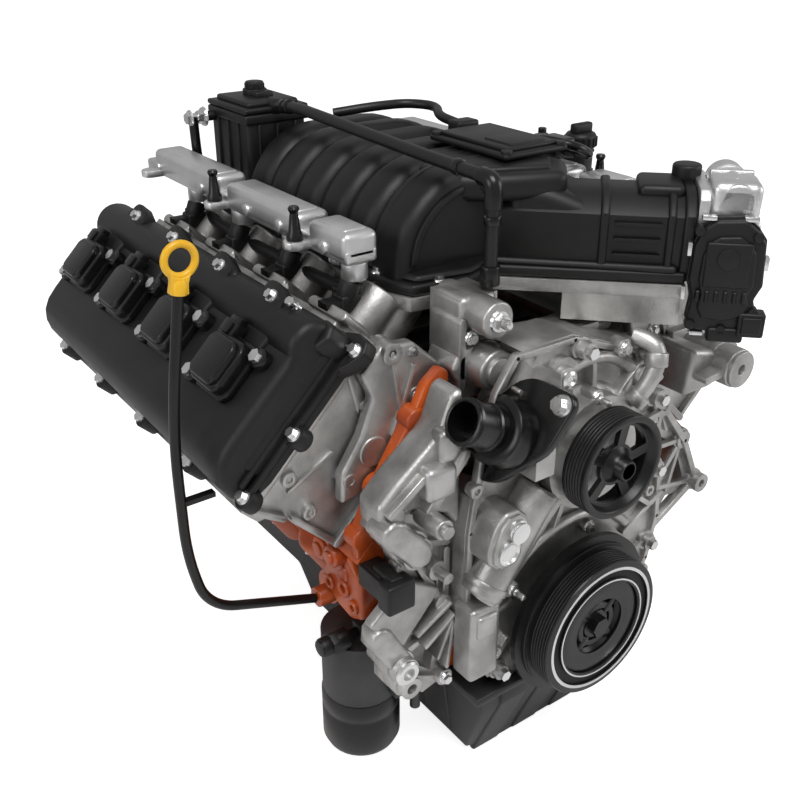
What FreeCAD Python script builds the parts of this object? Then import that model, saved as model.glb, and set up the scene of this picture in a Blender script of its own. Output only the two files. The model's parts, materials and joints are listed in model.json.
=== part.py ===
import FreeCAD, Part
import math
import os
import re

import Sketcher

Vector = FreeCAD.Vector
Rotation = FreeCAD.Rotation
Placement = FreeCAD.Placement

# A 90 degree pushrod V8, dressed from oil pan to intake, without belt, alternator or manifolds.
# Frame: +Z up, +Y to the rear, +X to the engine's left bank. The origin lies on the crankshaft
# axis in the plane of the cylinder block's rear face. Sizes are millimetres.

SIZES = {
    # cylinder block and bank geometry
    "half_root": math.sqrt(0.5),
    "bore_spacing": 113.3,
    "bore": 103.9,
    "stroke": 94.5,
    "bank_stagger": 23.0,
    "right_bank_y": -245.0,
    "block_length": 512.0,
    "deck_height": 256.0,
    "deck_outboard": 84.0,
    "deck_inboard": 106.0,
    "valley_floor": 172.0,
    "valley_half": 44.0,
    "side_x": 178.0,
    "side_z": 22.0,
    "skirt_half": 118.0,
    "rail_z": -72.0,
    "rail_half": 128.0,
    "rail_thick": 12.0,
    "cavity_radius": 94.0,
    "bulkhead": 24.0,
    "main_journal": 65.0,
    "rod_journal": 54.0,
    "oil_film": 0.05,
    "cam_height": 150.0,
    "cam_journal": 60.0,
    "liner_foot": 90.0,
    "fit_gap": 0.3,
    "rod_width": 52.0,
    "web_thick": 17.0,
    "web_half": 38.0,
    "weight_radius": 86.0,
    "flange_radius": 48.0,
    "flange_thick": 12.0,
    "seal_land": 20.0,
    "flange_circle": 78.0,
    "flange_thread": 11.0,
    "pilot_bore": 24.0,
    "nose_radius": 18.0,
    "nose_front": 610.0,
    "seal_radius": 24.0,
    "seal_wall": 9.0,
    "cam_core": 18.0,
    "lobe_radius": 21.0,
    "lobe_lift": 6.5,
    "lobe_width": 14.0,
    "chain_pitch": 9.525,
    "chain_width": 11.0,
    "chain_rear": -523.0,
    "chain_band": 7.0,
    "roller_radius": 3.2,
    "impeller_radius": 48.0,
    "pump_dome": 62.0,
    "impeller_rear": 552.0,
    "impeller_width": 16.0,
    "mount_step": 46.0,
    "mount_boss": 24.0,
    "mount_thread": 10.0,
    "bell_thread": 10.0,
    "mount_reach": 214.0,
    "mount_y": -412.0,
    "mount_z": 20.0,
    "bell_radius": 195.0,
    # cylinder heads and covers, in the bank's own frame
    "gasket": 1.5,
    "head_half": 231.0,
    "head_rail": 384.0,
    "head_foot": 76.0,
    "head_inboard": 108.0,
    "head_shoulder": 99.0,
    "port_width": 34.0,
    "port_height": 46.0,
    "cover_half": 243.0,
    "cover_outboard": 99.0,
    "cover_inboard": 93.0,
    "cover_flange": 9.0,
    "coil_rise": 58.0,
    "coil_lateral": 3.0,
    "ridge_lateral": 60.0,
    "ridge_rise": 40.0,
    "coil_length": 68.0,
    "coil_width": 66.0,
    "coil_flange": 10.0,
    "coil_body": 17.0,
    "coil_bolt_l": 23.0,
    "coil_bolt_y": 43.6,
    "plug_bore": 25.0,
    # front of the engine
    "cover_front": 562.0,
    "chain_pocket": 28.0,
    "pump_z": 201.6,
    "pump_x": 0.0,
    "pump_front": 588.0,
    "pump_pulley_radius": 55.6,
    "pump_pulley_front": 627.0,
    "pump_pulley_width": 29.0,
    "pump_shaft": 17.0,
    "damper_front": 623.0,
    "damper_radius": 81.9,
    "damper_depth": 39.0,
    "damper_disc": 96.0,
    "outer_ring": 72.5,
    "inner_ring": 59.8,
    "hub_bore": 36.0,
    "rib_pitch": 3.56,
    "rib_depth": 2.8,
    "running_gap": 0.4,
    "neck_radius": 21.5,
    "neck_wall": 3.0,
    "neck_length": 62.0,
    "neck_x": -100.0,
    "neck_y": -576.0,
    "neck_z": 250.0,
    # oil system
    "pan_depth": 225.0,
    "pan_wall": 3.0,
    "pan_front": 572.0,
    "sump_front": 512.0,
    "sump_rear": 190.0,
    "sump_half": 98.0,
    "shallow_z": -150.0,
    "filter_radius": 45.0,
    "filter_x": -200.0,
    "filter_y": -452.0,
    "filter_bottom": -172.0,
    "filter_height": 78.0,
    "adapter_top": -14.0,
    # intake and fuel
    "barrel_x": 38.0,
    "barrel_rise": 20.0,
    "barrel_radius": 92.0,
    "barrel_front": -428.0,
    "barrel_rear": -100.0,
    "foot_rise": 41.72,
    "shell_rise": 14.0,
    "snout_offset": 270.0,
    "snout_rise": 44.0,
    "snout_half_width": 52.0,
    "snout_half_height": 47.0,
    "snout_end": 498.0,
    "throttle_bore": 80.0,
    "throttle_wall": 7.0,
    "throttle_length": 62.0,
    "throttle_shaft": 10.0,
    "mouth_depth": 12.0,
    "rail_x": 172.0,
    "rail_width": 40.0,
    "rail_height": 46.0,
    "rail_rise": 26.0,
    "injector_radius": 8.0,
    "gear_face": 318.0,
    # breather, filler and dipstick
    "box_x": -112.0,
    "box_y": -96.0,
    "box_width": 82.0,
    "box_depth": 96.0,
    "box_floor": 364.3,
    "box_lid": 470.0,
    "filler_x": 262.0,
    "filler_y": -281.0,
    "filler_seat": 382.0,
    "filler_radius": 17.0,
    "filler_height": 36.0,
    "cap_radius": 21.0,
    "cap_height": 30.0,
    "stick_y": -440.0,
    "stick_top_x": -364.0,
    "stick_top_z": 408.0,
    "stick_low_x": -383.0,
    "stick_low_z": 285.0,
    "stick_tube": 5.0,
    "stick_bore": 2.4,
    "stick_blade": 1.9,
}

# Sizes that follow from the ones above, worked out by the sheet itself.
DERIVED = {
    "liner_depth": "deck_height - liner_foot",
    "coil_deck": "head_rail + coil_rise",
    "ridge_height": "head_rail + ridge_rise",
    "intake_foot": "half_root * (head_inboard + head_rail - 73) + foot_rise",
    "shell_split": "intake_foot + shell_rise",
    "barrel_z": "shell_split + barrel_rise",
    "snout_z": "shell_split + snout_rise",
    "rail_base": "shell_split + rail_rise",
}

doc = FreeCAD.newDocument("v8_engine")
sheet = doc.addObject("Spreadsheet::Sheet", "size")
cells = [(alias, repr(float(size))) for alias, size in SIZES.items()]
cells += [(alias, f"={formula}") for alias, formula in DERIVED.items()]
ALIASES = {alias for alias, _ in cells}
for row, (alias, content) in enumerate(cells, start=1):
    sheet.set(f"A{row}", alias)
    sheet.set(f"B{row}", content)
    sheet.setAlias(f"B{row}", alias)
doc.recompute()

PARTS = []
COUNTER = {"n": 0}


def bound(text):
    """The expression with every sheet alias written as size.alias."""
    return re.sub(r"[a-z][a-z_0-9]*", lambda m: f"size.{m[0]}" if m[0] in ALIASES else m[0], str(text))


def value(text):
    """The number that an expression of sheet aliases has now."""
    return float(sheet.evalExpression(bound(text)))


def fresh(stem):
    COUNTER["n"] += 1
    return f"{stem}_{COUNTER['n']}"


def keep(obj, label):
    """Marks a finished sub-part: its label is the name of its file."""
    obj.Label = label
    PARTS.append(obj)
    return obj


TURNS = {
    "+z": Rotation(),
    "-z": Rotation(Vector(1, 0, 0), 180),
    "+x": Rotation(Vector(0, 1, 0), 90),
    "-x": Rotation(Vector(0, 1, 0), -90),
    "+y": Rotation(Vector(1, 0, 0), -90),
    "-y": Rotation(Vector(1, 0, 0), 90),
}


def stand(obj, at, along="+z"):
    """Puts a primitive at a bound point, with its own Z turned to the named direction."""
    turn = TURNS[along] if isinstance(along, str) else Rotation(Vector(0, 0, 1), Vector(*along))
    obj.Placement = Placement(Vector(*[value(text) for text in at]), turn)
    for letter, text in zip("xyz", at):
        obj.setExpression(f"Placement.Base.{letter}", bound(text))
    return obj


def cylinder(radius, length, at, along="+z"):
    obj = doc.addObject("Part::Cylinder", fresh("cylinder"))
    obj.setExpression("Radius", bound(radius))
    obj.setExpression("Height", bound(length))
    return stand(obj, at, along)


def box(sizes, at):
    obj = doc.addObject("Part::Box", fresh("box"))
    for name, text in zip(("Length", "Width", "Height"), sizes):
        obj.setExpression(name, bound(text))
    return stand(obj, at)


def fused(*pieces):
    if len(pieces) == 1:
        return pieces[0]
    obj = doc.addObject("Part::MultiFuse", fresh("fuse"))
    obj.Shapes = list(pieces)
    obj.Refine = True
    return obj


def without(base, *tools):
    obj = doc.addObject("Part::Cut", fresh("cut"))
    obj.Base = base
    obj.Tool = fused(*tools)
    obj.Refine = True
    return obj


def group(*pieces):
    """Identical loose pieces that share one node stay separate solids of a compound."""
    obj = doc.addObject("Part::Compound", fresh("group"))
    obj.Links = list(pieces)
    return obj


def placed(obj, at, turn):
    """Carries a finished piece, drawn in a frame of its own, to a bound point and a turn."""
    carrier = group(obj)
    carrier.Placement = Placement(Vector(*[value(text) for text in at]), turn)
    for letter, text in zip("xyz", at):
        carrier.setExpression(f"Placement.Base.{letter}", bound(text))
    return carrier


def body():
    return doc.addObject("PartDesign::Body", fresh("body"))


PLANES = {"XZ": "XZ_Plane", "XY": "XY_Plane", "YZ": "YZ_Plane"}


def outline(owner, plane, offset, points, holes=()):
    """A sketch of one closed outline, every corner held by two bound distances."""
    sketch = owner.newObject("Sketcher::SketchObject", fresh("sketch"))
    origin = [item for item in owner.Origin.OriginFeatures if item.Role == PLANES[plane]][0]
    sketch.AttachmentSupport = [(origin, "")]
    sketch.MapMode = "FlatFace"
    sketch.setExpression("AttachmentOffset.Base.z", bound(offset))
    spots = [(value(a), value(b)) for a, b in points]
    count = len(spots)
    for i in range(count):
        start = Vector(*spots[i], 0)
        end = Vector(*spots[(i + 1) % count], 0)
        sketch.addGeometry(Part.LineSegment(start, end))
    for i in range(count):
        sketch.addConstraint(Sketcher.Constraint("Coincident", i, 2, (i + 1) % count, 1))
    for i, (a, b) in enumerate(points):
        for kind, text, spot in (("DistanceX", a, spots[i][0]), ("DistanceY", b, spots[i][1])):
            index = sketch.addConstraint(Sketcher.Constraint(kind, -1, 1, i, 1, spot))
            sketch.setExpression(f"Constraints[{index}]", bound(text))
    for a, b, radius in holes:
        ring(sketch, a, b, radius)
    return sketch


def ring(sketch, a, b, radius):
    """Adds one bound circle to a sketch."""
    x, y, size = value(a), value(b), value(radius)
    index = sketch.addGeometry(Part.Circle(Vector(x, y, 0), Vector(0, 0, 1), size))
    for kind, text, spot in (("DistanceX", a, x), ("DistanceY", b, y)):
        row = sketch.addConstraint(Sketcher.Constraint(kind, -1, 1, index, 3, spot))
        sketch.setExpression(f"Constraints[{row}]", bound(text))
    row = sketch.addConstraint(Sketcher.Constraint("Radius", index, size))
    sketch.setExpression(f"Constraints[{row}]", bound(radius))


def circles(owner, plane, offset, spots):
    """A sketch that holds only circles, each given as centre and radius."""
    sketch = owner.newObject("Sketcher::SketchObject", fresh("sketch"))
    origin = [item for item in owner.Origin.OriginFeatures if item.Role == PLANES[plane]][0]
    sketch.AttachmentSupport = [(origin, "")]
    sketch.MapMode = "FlatFace"
    sketch.setExpression("AttachmentOffset.Base.z", bound(offset))
    for a, b, radius in spots:
        ring(sketch, a, b, radius)
    return sketch


def pad(owner, sketch, length, midplane=False, reverse=False):
    feature = owner.newObject("PartDesign::Pad", fresh("pad"))
    feature.Profile = sketch
    feature.setExpression("Length", bound(length))
    feature.Midplane = midplane
    feature.Reversed = reverse
    return feature


def pocket(owner, sketch, length, midplane=False, reverse=False):
    doc.recompute()
    before = owner.Shape.Volume
    feature = owner.newObject("PartDesign::Pocket", fresh("pocket"))
    feature.Profile = sketch
    feature.setExpression("Length", bound(length))
    feature.Midplane = midplane
    feature.Reversed = reverse
    doc.recompute()
    if owner.Shape.Volume >= before:
        raise ValueError(f"{feature.Name} cuts nothing")
    return feature


def revolved(points, along="+y", at=("0", "0", "0")):
    """A turned piece: its profile's first coordinate is the radius, the second the axial place."""
    owner = body()
    sketch = outline(owner, "XZ", "0", points)
    feature = owner.newObject("PartDesign::Revolution", fresh("revolution"))
    feature.Profile = sketch
    feature.ReferenceAxis = (sketch, ["V_Axis"])
    feature.Angle = 360
    return stand(owner, at, along)


def bank_x(lateral, height):
    return f"-(({height}) - ({lateral}))*half_root"


def bank_z(lateral, height):
    return f"(({height}) + ({lateral}))*half_root"


def tube_along(points, radius, bore=0.0):
    """A round tube whose path is straight runs joined by tangent arcs as large as fit."""
    spots = [Vector(*spot) for spot in points]
    edges = []
    start = spots[0]
    for before, corner, after in zip(spots, spots[1:], spots[2:]):
        back = (before - corner)
        ahead = (after - corner)
        turn = math.pi - back.getAngle(ahead)
        reach = 0.45 * min(back.Length, ahead.Length)
        back.normalize()
        ahead.normalize()
        first = corner + back * reach
        last = corner + ahead * reach
        middle_dir = back + ahead
        middle_dir.normalize()
        size = reach / math.tan(turn / 2)
        gap = size / math.cos(turn / 2) - size
        edges.append(Part.LineSegment(start, first).toShape())
        edges.append(Part.Arc(first, corner + middle_dir * gap, last).toShape())
        start = last
    edges.append(Part.LineSegment(start, spots[-1]).toShape())
    path = Part.Wire(edges)
    heading = (spots[1] - spots[0]).normalize()
    rings = [Part.Wire(Part.Circle(spots[0], heading, size).toShape()) for size in (radius, bore) if size]
    solids = [path.makePipeShell([item], True, False) for item in rings]
    return solids[0] if len(solids) == 1 else solids[0].cut(solids[1])


def shaped(shape, label):
    """A sub-part whose shape comes from Part's own functions."""
    obj = doc.addObject("Part::Feature", fresh("shape"))
    obj.Shape = shape
    return keep(obj, label)


# --- banks -------------------------------------------------------------------------------------
# Heads, covers, gaskets and coils are drawn once in the bank's own frame: X inboard, Y along the
# engine, Z square to the deck, with the origin on the crankshaft axis at the bank's middle bore
# line. The left bank carries the same castings turned end for end.

SIDES = ("right", "left")
BANK_Y = {"right": "right_bank_y", "left": "right_bank_y - bank_stagger"}
BANK_TURN = {
    "right": Rotation(Vector(0, 1, 0), -45),
    "left": Rotation(Vector(0, 1, 0), 45).multiply(Rotation(Vector(0, 0, 1), 180)),
}
BORE_STEPS = (-1.5, -0.5, 0.5, 1.5)


def to_bank(obj, side):
    obj.Placement = Placement(Vector(0, value(BANK_Y[side]), 0), BANK_TURN[side])
    obj.setExpression("Placement.Base.y", bound(BANK_Y[side]))
    return obj


def bank_point(side, lateral, along, height):
    """A point of a bank's own frame, as numbers of the engine's frame."""
    spot = Vector(value(lateral), value(along), value(height))
    return BANK_TURN[side].multVec(spot) + Vector(0, value(BANK_Y[side]), 0)


# --- cylinder block and what turns in it ------------------------------------------------------

def throw_y(step):
    """The middle of a crank throw, between the bores of its two banks."""
    return f"(right_bank_y - bank_stagger/2 + ({step})*bore_spacing)"


def block_casting():
    owner = body()
    half = [
        ("0", "rail_z"),
        ("-rail_half", "rail_z"),
        ("-rail_half", "rail_z + rail_thick"),
        ("-skirt_half", "rail_z + rail_thick + 6"),
        ("-skirt_half - 6", "-18"),
        ("-side_x", "side_z"),
        (bank_x("-deck_outboard", "deck_height - 50"), bank_z("-deck_outboard", "deck_height - 50")),
        (bank_x("-deck_outboard", "deck_height"), bank_z("-deck_outboard", "deck_height")),
        (bank_x("deck_inboard", "deck_height"), bank_z("deck_inboard", "deck_height")),
        (bank_x("deck_inboard", "deck_height - 30"), bank_z("deck_inboard", "deck_height - 30")),
        ("-valley_half", "valley_floor"),
    ]
    other = [(f"-({a})", b) for a, b in reversed(half[1:])]
    pad(owner, outline(owner, "XZ", "0", half + other), "block_length")
    span = "(bore_spacing - bulkhead)"
    for step in BORE_STEPS:
        start = f"-{throw_y(step)} - {span}/2"
        pocket(owner, circles(owner, "XZ", start, [("0", "0", "cavity_radius")]), span, reverse=True)
    tunnels = [("0", "0", "main_journal/2 + oil_film"), ("0", "cam_height", "cam_journal/2 + oil_film")]
    pocket(owner, circles(owner, "XZ", "0", tunnels), "block_length", reverse=True)
    slot = [("-cavity_radius", "rail_z"), ("cavity_radius", "rail_z"), ("cavity_radius", "0"),
            ("-cavity_radius", "0")]
    pocket(owner, outline(owner, "XZ", "0", slot), "block_length", reverse=True)
    return owner


def seal_seat():
    """The room in the rear wall for the rear seal's ring."""
    return cylinder("flange_radius + seal_land + fit_gap", "flange_thick + fit_gap", ("0", "0", "0"), "-y")


def cylinder_block():
    pieces = [block_casting()]
    holes = []
    for sign, inward in ((-1, "+x"), (1, "-x")):
        for along, up, reach in ((0, 0, 0), (-8, 1, 0), (150, 0, 26), (150, 1, 26)):
            at = (f"{sign}*(mount_reach - {reach})", f"mount_y + {along}", f"mount_z + {up}*mount_step")
            pieces.append(cylinder("mount_boss - 4", f"mount_reach - {reach} - skirt_half", at, inward))
            holes.append(cylinder("mount_thread/2", "30", at, inward))
    pieces.append(cylinder("11", "70", ("-mount_reach - 32", "stick_y", "38"), "+x"))
    for angle in (14, 52, 128, 166):
        at = (f"bell_radius*cos({angle} deg)", "0", f"bell_radius*sin({angle} deg)")
        pieces.append(cylinder("14", "30", at, "-y"))
        holes.append(cylinder("bell_thread/2", "24", at, "-y"))
    for step in BORE_STEPS:
        for side in SIDES:
            top = bank_point(side, "0", f"({step})*bore_spacing", "deck_height")
            low = bank_point(side, "0", f"({step})*bore_spacing", "deck_height - liner_depth")
            spot = [repr(part) for part in low]
            holes.append(cylinder("bore/2", "liner_depth", spot, tuple(top - low)))
    holes.append(seal_seat())
    return keep(without(fused(*pieces), *holes), "cylinder_block")


def main_bearing_caps():
    """Five caps close the main bearings from below; the end ones are as wide as their walls."""
    caps = []
    half = "cavity_radius - fit_gap"
    profile = [(f"-({half})", "-fit_gap"), (f"-({half})", "-34"), ("-46", "-58"), ("46", "-58"),
               (half, "-34"), (half, "-fit_gap")]
    span = "(bore_spacing - bulkhead)/2"
    places = [(f"-{throw_y(step)} - bulkhead/2", "bulkhead") for step in (-1, 0, 1)]
    places.append(("0", f"-{throw_y(1.5)} - {span}"))
    places.append((f"-{throw_y(-1.5)} + {span}", f"block_length + {throw_y(-1.5)} - {span}"))
    for start, width in places:
        owner = body()
        pad(owner, outline(owner, "XZ", start, profile), width)
        hole = circles(owner, "XZ", start, [("0", "0", "main_journal/2 + oil_film")])
        pocket(owner, hole, width, reverse=True)
        caps.append(owner)
    caps[3] = without(caps[3], seal_seat())
    return keep(group(*caps), "main_bearing_caps")


THROW_ANGLES = {-1.5: 0, -0.5: 90, 0.5: 270, 1.5: 180}


def crank_web(step, sign):
    """One web: a disc whose throw side is narrowed, leaving the counterweight opposite."""
    thick = "web_thick"
    inner = f"{throw_y(step)} + {sign}*(rod_width/2)"
    start = inner if sign > 0 else f"{inner} - {thick}"
    disc = cylinder("weight_radius", thick, ("0", "0", "0"), "+y")
    shoulder = "weight_radius + 4"
    notches = [box((shoulder, thick, shoulder), ("web_half", "0", "-12")),
               box((shoulder, thick, shoulder), (f"-web_half - ({shoulder})", "0", "-12"))]
    web = without(disc, *notches)
    web.Placement = Placement(Vector(0, value(start), 0), Rotation(Vector(0, 1, 0), THROW_ANGLES[step]))
    web.setExpression("Placement.Base.y", bound(start))
    return web


def crankshaft():
    pieces = []
    for step in BORE_STEPS:
        angle = THROW_ANGLES[step]
        at = (f"stroke/2*sin({angle} deg)", f"{throw_y(step)} - rod_width/2",
              f"stroke/2*cos({angle} deg)")
        pieces.append(cylinder("rod_journal/2", "rod_width", at, "+y"))
        pieces += [crank_web(step, -1), crank_web(step, 1)]
    main = "main_journal/2"
    reach = "(rod_width/2 + web_thick)"
    for step in (-1, 0, 1):
        length = f"bore_spacing - 2*{reach}"
        pieces.append(cylinder(main, length, ("0", f"{throw_y(step)} - ({length})/2", "0"), "+y"))
    front = f"{throw_y(-1.5)} - {reach}"
    pieces.append(cylinder(main, f"{front} + block_length", ("0", "-block_length", "0"), "+y"))
    rear = f"{throw_y(1.5)} + {reach}"
    pieces.append(cylinder(main, f"-({rear})", ("0", rear, "0"), "+y"))
    pieces.append(cylinder("flange_radius", "flange_thick", ("0", "0", "0"), "-y"))
    pieces.append(cylinder("nose_radius", "nose_front - block_length", ("0", "-nose_front", "0"), "+y"))
    holes = [cylinder("pilot_bore/2", "22", ("0", "0", "0"), "-y")]
    for turn in range(8):
        at = (f"flange_circle/2*cos({turn*45} deg)", "0", f"flange_circle/2*sin({turn*45} deg)")
        holes.append(cylinder("flange_thread/2", "16", at, "-y"))
    return keep(without(fused(*pieces), *holes), "crankshaft")


def camshaft():
    """Five journals carry sixteen lobes, two to a cylinder, on a slim core."""
    pieces = [cylinder("cam_core", "-chain_rear + chain_width - 10",
                       ("0", "chain_rear - chain_width - 2", "cam_height"), "+y")]
    wide = "bulkhead - 2"
    for step in (-1, 0, 1):
        at = ("0", f"{throw_y(step)} - ({wide})/2", "cam_height")
        pieces.append(cylinder("cam_journal/2", wide, at, "+y"))
    pieces.append(cylinder("cam_journal/2", "26", ("0", "-block_length", "cam_height"), "+y"))
    pieces.append(cylinder("cam_journal/2", "22", ("0", "-44", "cam_height"), "+y"))
    order = (0, 270, 180, 90)
    for index, step in enumerate(BORE_STEPS):
        for place, lead in ((-36, 0), (-14, 110), (14, 90), (36, 200)):
            angle = order[index] + lead
            at = (f"lobe_lift*cos({angle} deg)", f"{throw_y(step)} + {place} - lobe_width/2",
                  f"cam_height + lobe_lift*sin({angle} deg)")
            pieces.append(cylinder("lobe_radius", "lobe_width", at, "+y"))
    return keep(fused(*pieces), "camshaft")


def sprocket(label, teeth, height, bore):
    """A chain wheel: its tooth gaps are the rollers' own circles on the pitch circle."""
    pitch = value("chain_pitch")
    pitch_radius = pitch/(2*math.sin(math.pi/teeth))
    blank = cylinder(f"{pitch_radius} + 1.6", "chain_width", ("0", "chain_rear - chain_width", height),
                     "+y")
    gaps = []
    for index in range(teeth):
        turn = 2*math.pi*index/teeth
        at = (f"{pitch_radius*math.sin(turn)}", "chain_rear - chain_width",
              f"{height} + {pitch_radius*math.cos(turn)}")
        gaps.append(cylinder("roller_radius + 0.2", "chain_width", at, "+y"))
    hole = cylinder(bore, "chain_width", ("0", "chain_rear - chain_width", height), "+y")
    return keep(without(blank, *gaps, hole), label)


def timing_chain():
    """The chain as one closed band round both wheels, just outside the tooth tips."""
    pitch = value("chain_pitch")
    low = pitch/(2*math.sin(math.pi/CRANK_TEETH)) + 1.6 + value("fit_gap")
    high = pitch/(2*math.sin(math.pi/CAM_TEETH)) + 1.6 + value("fit_gap")
    span = value("cam_height")
    lean = math.asin((high - low)/span)

    def loop(extra):
        a, b = low + extra, high + extra
        right_low = Vector(a*math.cos(lean), 0, -a*math.sin(lean))
        right_high = Vector(b*math.cos(lean), 0, span - b*math.sin(lean))
        left_low = Vector(-right_low.x, 0, right_low.z)
        left_high = Vector(-right_high.x, 0, right_high.z)
        edges = [Part.LineSegment(right_low, right_high).toShape(),
                 Part.Arc(right_high, Vector(0, 0, span + b), left_high).toShape(),
                 Part.LineSegment(left_high, left_low).toShape(),
                 Part.Arc(left_low, Vector(0, 0, -a), right_low).toShape()]
        return Part.Face(Part.Wire(edges))

    band = loop(value("chain_band")).cut(loop(0.0))
    solid = band.extrude(Vector(0, value("chain_width") - 2, 0))
    solid.translate(Vector(0, value("chain_rear - chain_width + 1"), 0))
    return shaped(solid, "timing_chain")


def ribbed(radius, front, first):
    """Corners of a belt face with six V grooves, from its front edge to its rear one."""
    points = []
    for index in range(7):
        points.append((radius, f"{front} + {first} + {index}*rib_pitch"))
        if index < 6:
            points.append((f"{radius} - rib_depth", f"{front} + {first} + ({index} + 0.5)*rib_pitch"))
    return points


def damper_hub():
    face = "-damper_front"
    profile = [("hub_bore/2", "-block_length - 44"), ("hub_bore/2", f"{face} + 14"),
               ("34", f"{face} + 14"), ("38", f"{face} + 9"), ("inner_ring - 3", f"{face} + 9"),
               ("inner_ring - 3", f"{face} + 1"), ("inner_ring", face), ("inner_ring", f"{face} + 30"),
               ("seal_radius", f"{face} + 30"), ("seal_radius", "-block_length - 44")]
    hub = revolved(profile)
    holes = [cylinder("4", "34", (f"46*cos({angle} deg)", face, f"46*sin({angle} deg)"), "+y")
             for angle in (20, 80, 140, 200, 260, 320)]
    return keep(without(hub, *holes), "damper_hub")


def damper_rubber():
    face = "-damper_front"
    profile = [("inner_ring", f"{face} + 3"), ("outer_ring", f"{face} + 3"),
               ("outer_ring", f"{face} + 30"), ("inner_ring", f"{face} + 30")]
    return keep(revolved(profile), "damper_rubber")


def damper_ring():
    face = "-damper_front"
    profile = [("outer_ring", f"{face} + 30"), ("outer_ring", face), ("outer_ring + 2.5", face),
               ("damper_radius - 1", f"{face} + 0.5"), ("damper_radius", f"{face} + 2")]
    profile += ribbed("damper_radius", face, "2")[1:]
    profile += [("damper_radius + 5", f"{face} + 24"), ("damper_radius + 5", f"{face} + 27"),
                ("damper_disc - 8", f"{face} + 27.5"), ("damper_disc - 8", f"{face} + 31"),
                ("damper_disc", f"{face} + 32"), ("damper_disc", f"{face} + damper_depth"),
                ("outer_ring", f"{face} + damper_depth")]
    return keep(revolved(profile), "damper_ring")


def damper_bolt():
    washer = cylinder("17", "4", ("0", "-nose_front - 4", "0"), "+y")
    hexagon = doc.addObject("Part::Prism", fresh("prism"))
    hexagon.Polygon = 6
    hexagon.Circumradius = 12
    hexagon.Height = 9
    stand(hexagon, ("0", "-nose_front - 13", "0"), "+y")
    return keep(fused(washer, hexagon), "damper_bolt")


def water_pump_pulley():
    face = "-pump_pulley_front"
    rim = "pump_pulley_radius"
    profile = [("14", f"{face} + 6"), ("20", f"{face} + 6"), ("24", f"{face} + 11"),
               (f"{rim} - 12", f"{face} + 11"), (f"{rim} - 9", f"{face} + 2"), (f"{rim} - 7", face),
               (rim, face), (rim, f"{face} + 3")]
    profile += ribbed(f"{rim} - 1.5", face, "4")
    profile += [(rim, f"{face} + 26.5"), (rim, f"{face} + pump_pulley_width"),
                (f"{rim} - 7", f"{face} + pump_pulley_width"), (f"{rim} - 7", f"{face} + 15"),
                ("14", f"{face} + 15")]
    wheel = revolved(profile, at=("pump_x", "0", "pump_z"))
    windows = [cylinder("7.5", "20", (f"pump_x + 34*cos({angle} deg)", face,
                                      f"pump_z + 34*sin({angle} deg)"), "+y")
               for angle in range(0, 360, 60)]
    return keep(without(wheel, *windows), "water_pump_pulley")


def water_pump_rotor():
    """The pump's shaft with its pulley flange in front and its six-bladed impeller behind."""
    at = ("pump_x", "-pump_pulley_front - 7", "pump_z")
    pieces = [cylinder("pump_shaft/2", "pump_pulley_front + 7 - impeller_rear", at, "+y")]
    collar = ("pump_x", "-pump_pulley_front + 15", "pump_z")
    pieces.append(cylinder("14", "8", collar, "+y"))
    disc = ("pump_x", "-impeller_rear", "pump_z")
    pieces.append(cylinder("impeller_radius", "4", disc, "-y"))
    for index in range(6):
        blade = box(("impeller_radius - 2", "impeller_width - 3", "3"), ("0", "0", "-1.5"))
        hub = ("pump_x", "-impeller_rear - impeller_width", "pump_z")
        pieces.append(placed(blade, hub, Rotation(Vector(0, 1, 0), index*60)))
    return keep(fused(*pieces), "water_pump_rotor")


# Bosses and screw lands of the front cover: across, up, radius, reach ahead of the cover's face.
COVER_BOSSES = (
    (-112.0, 158.0, 17.0, 28.0), (-122.0, 137.0, 17.0, 28.0),
    (-130.0, 30.0, 9.0, 10.0), (-96.0, -48.0, 9.0, 12.0), (96.0, -48.0, 9.0, 12.0),
    (128.0, 30.0, 9.0, 12.0), (84.0, 284.0, 9.0, 14.0),
    (-36.0, 296.0, 15.0, 10.0), (-10.0, 312.0, 9.0, 16.0), (110.0, 225.0, 10.0, 14.0),
    (126.0, 130.0, 10.0, 10.0),
)

NECK_TURN = Rotation(Vector(0, 1, 0), -62.2)

# --- front cover and its accessories -----------------------------------------------------------

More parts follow.
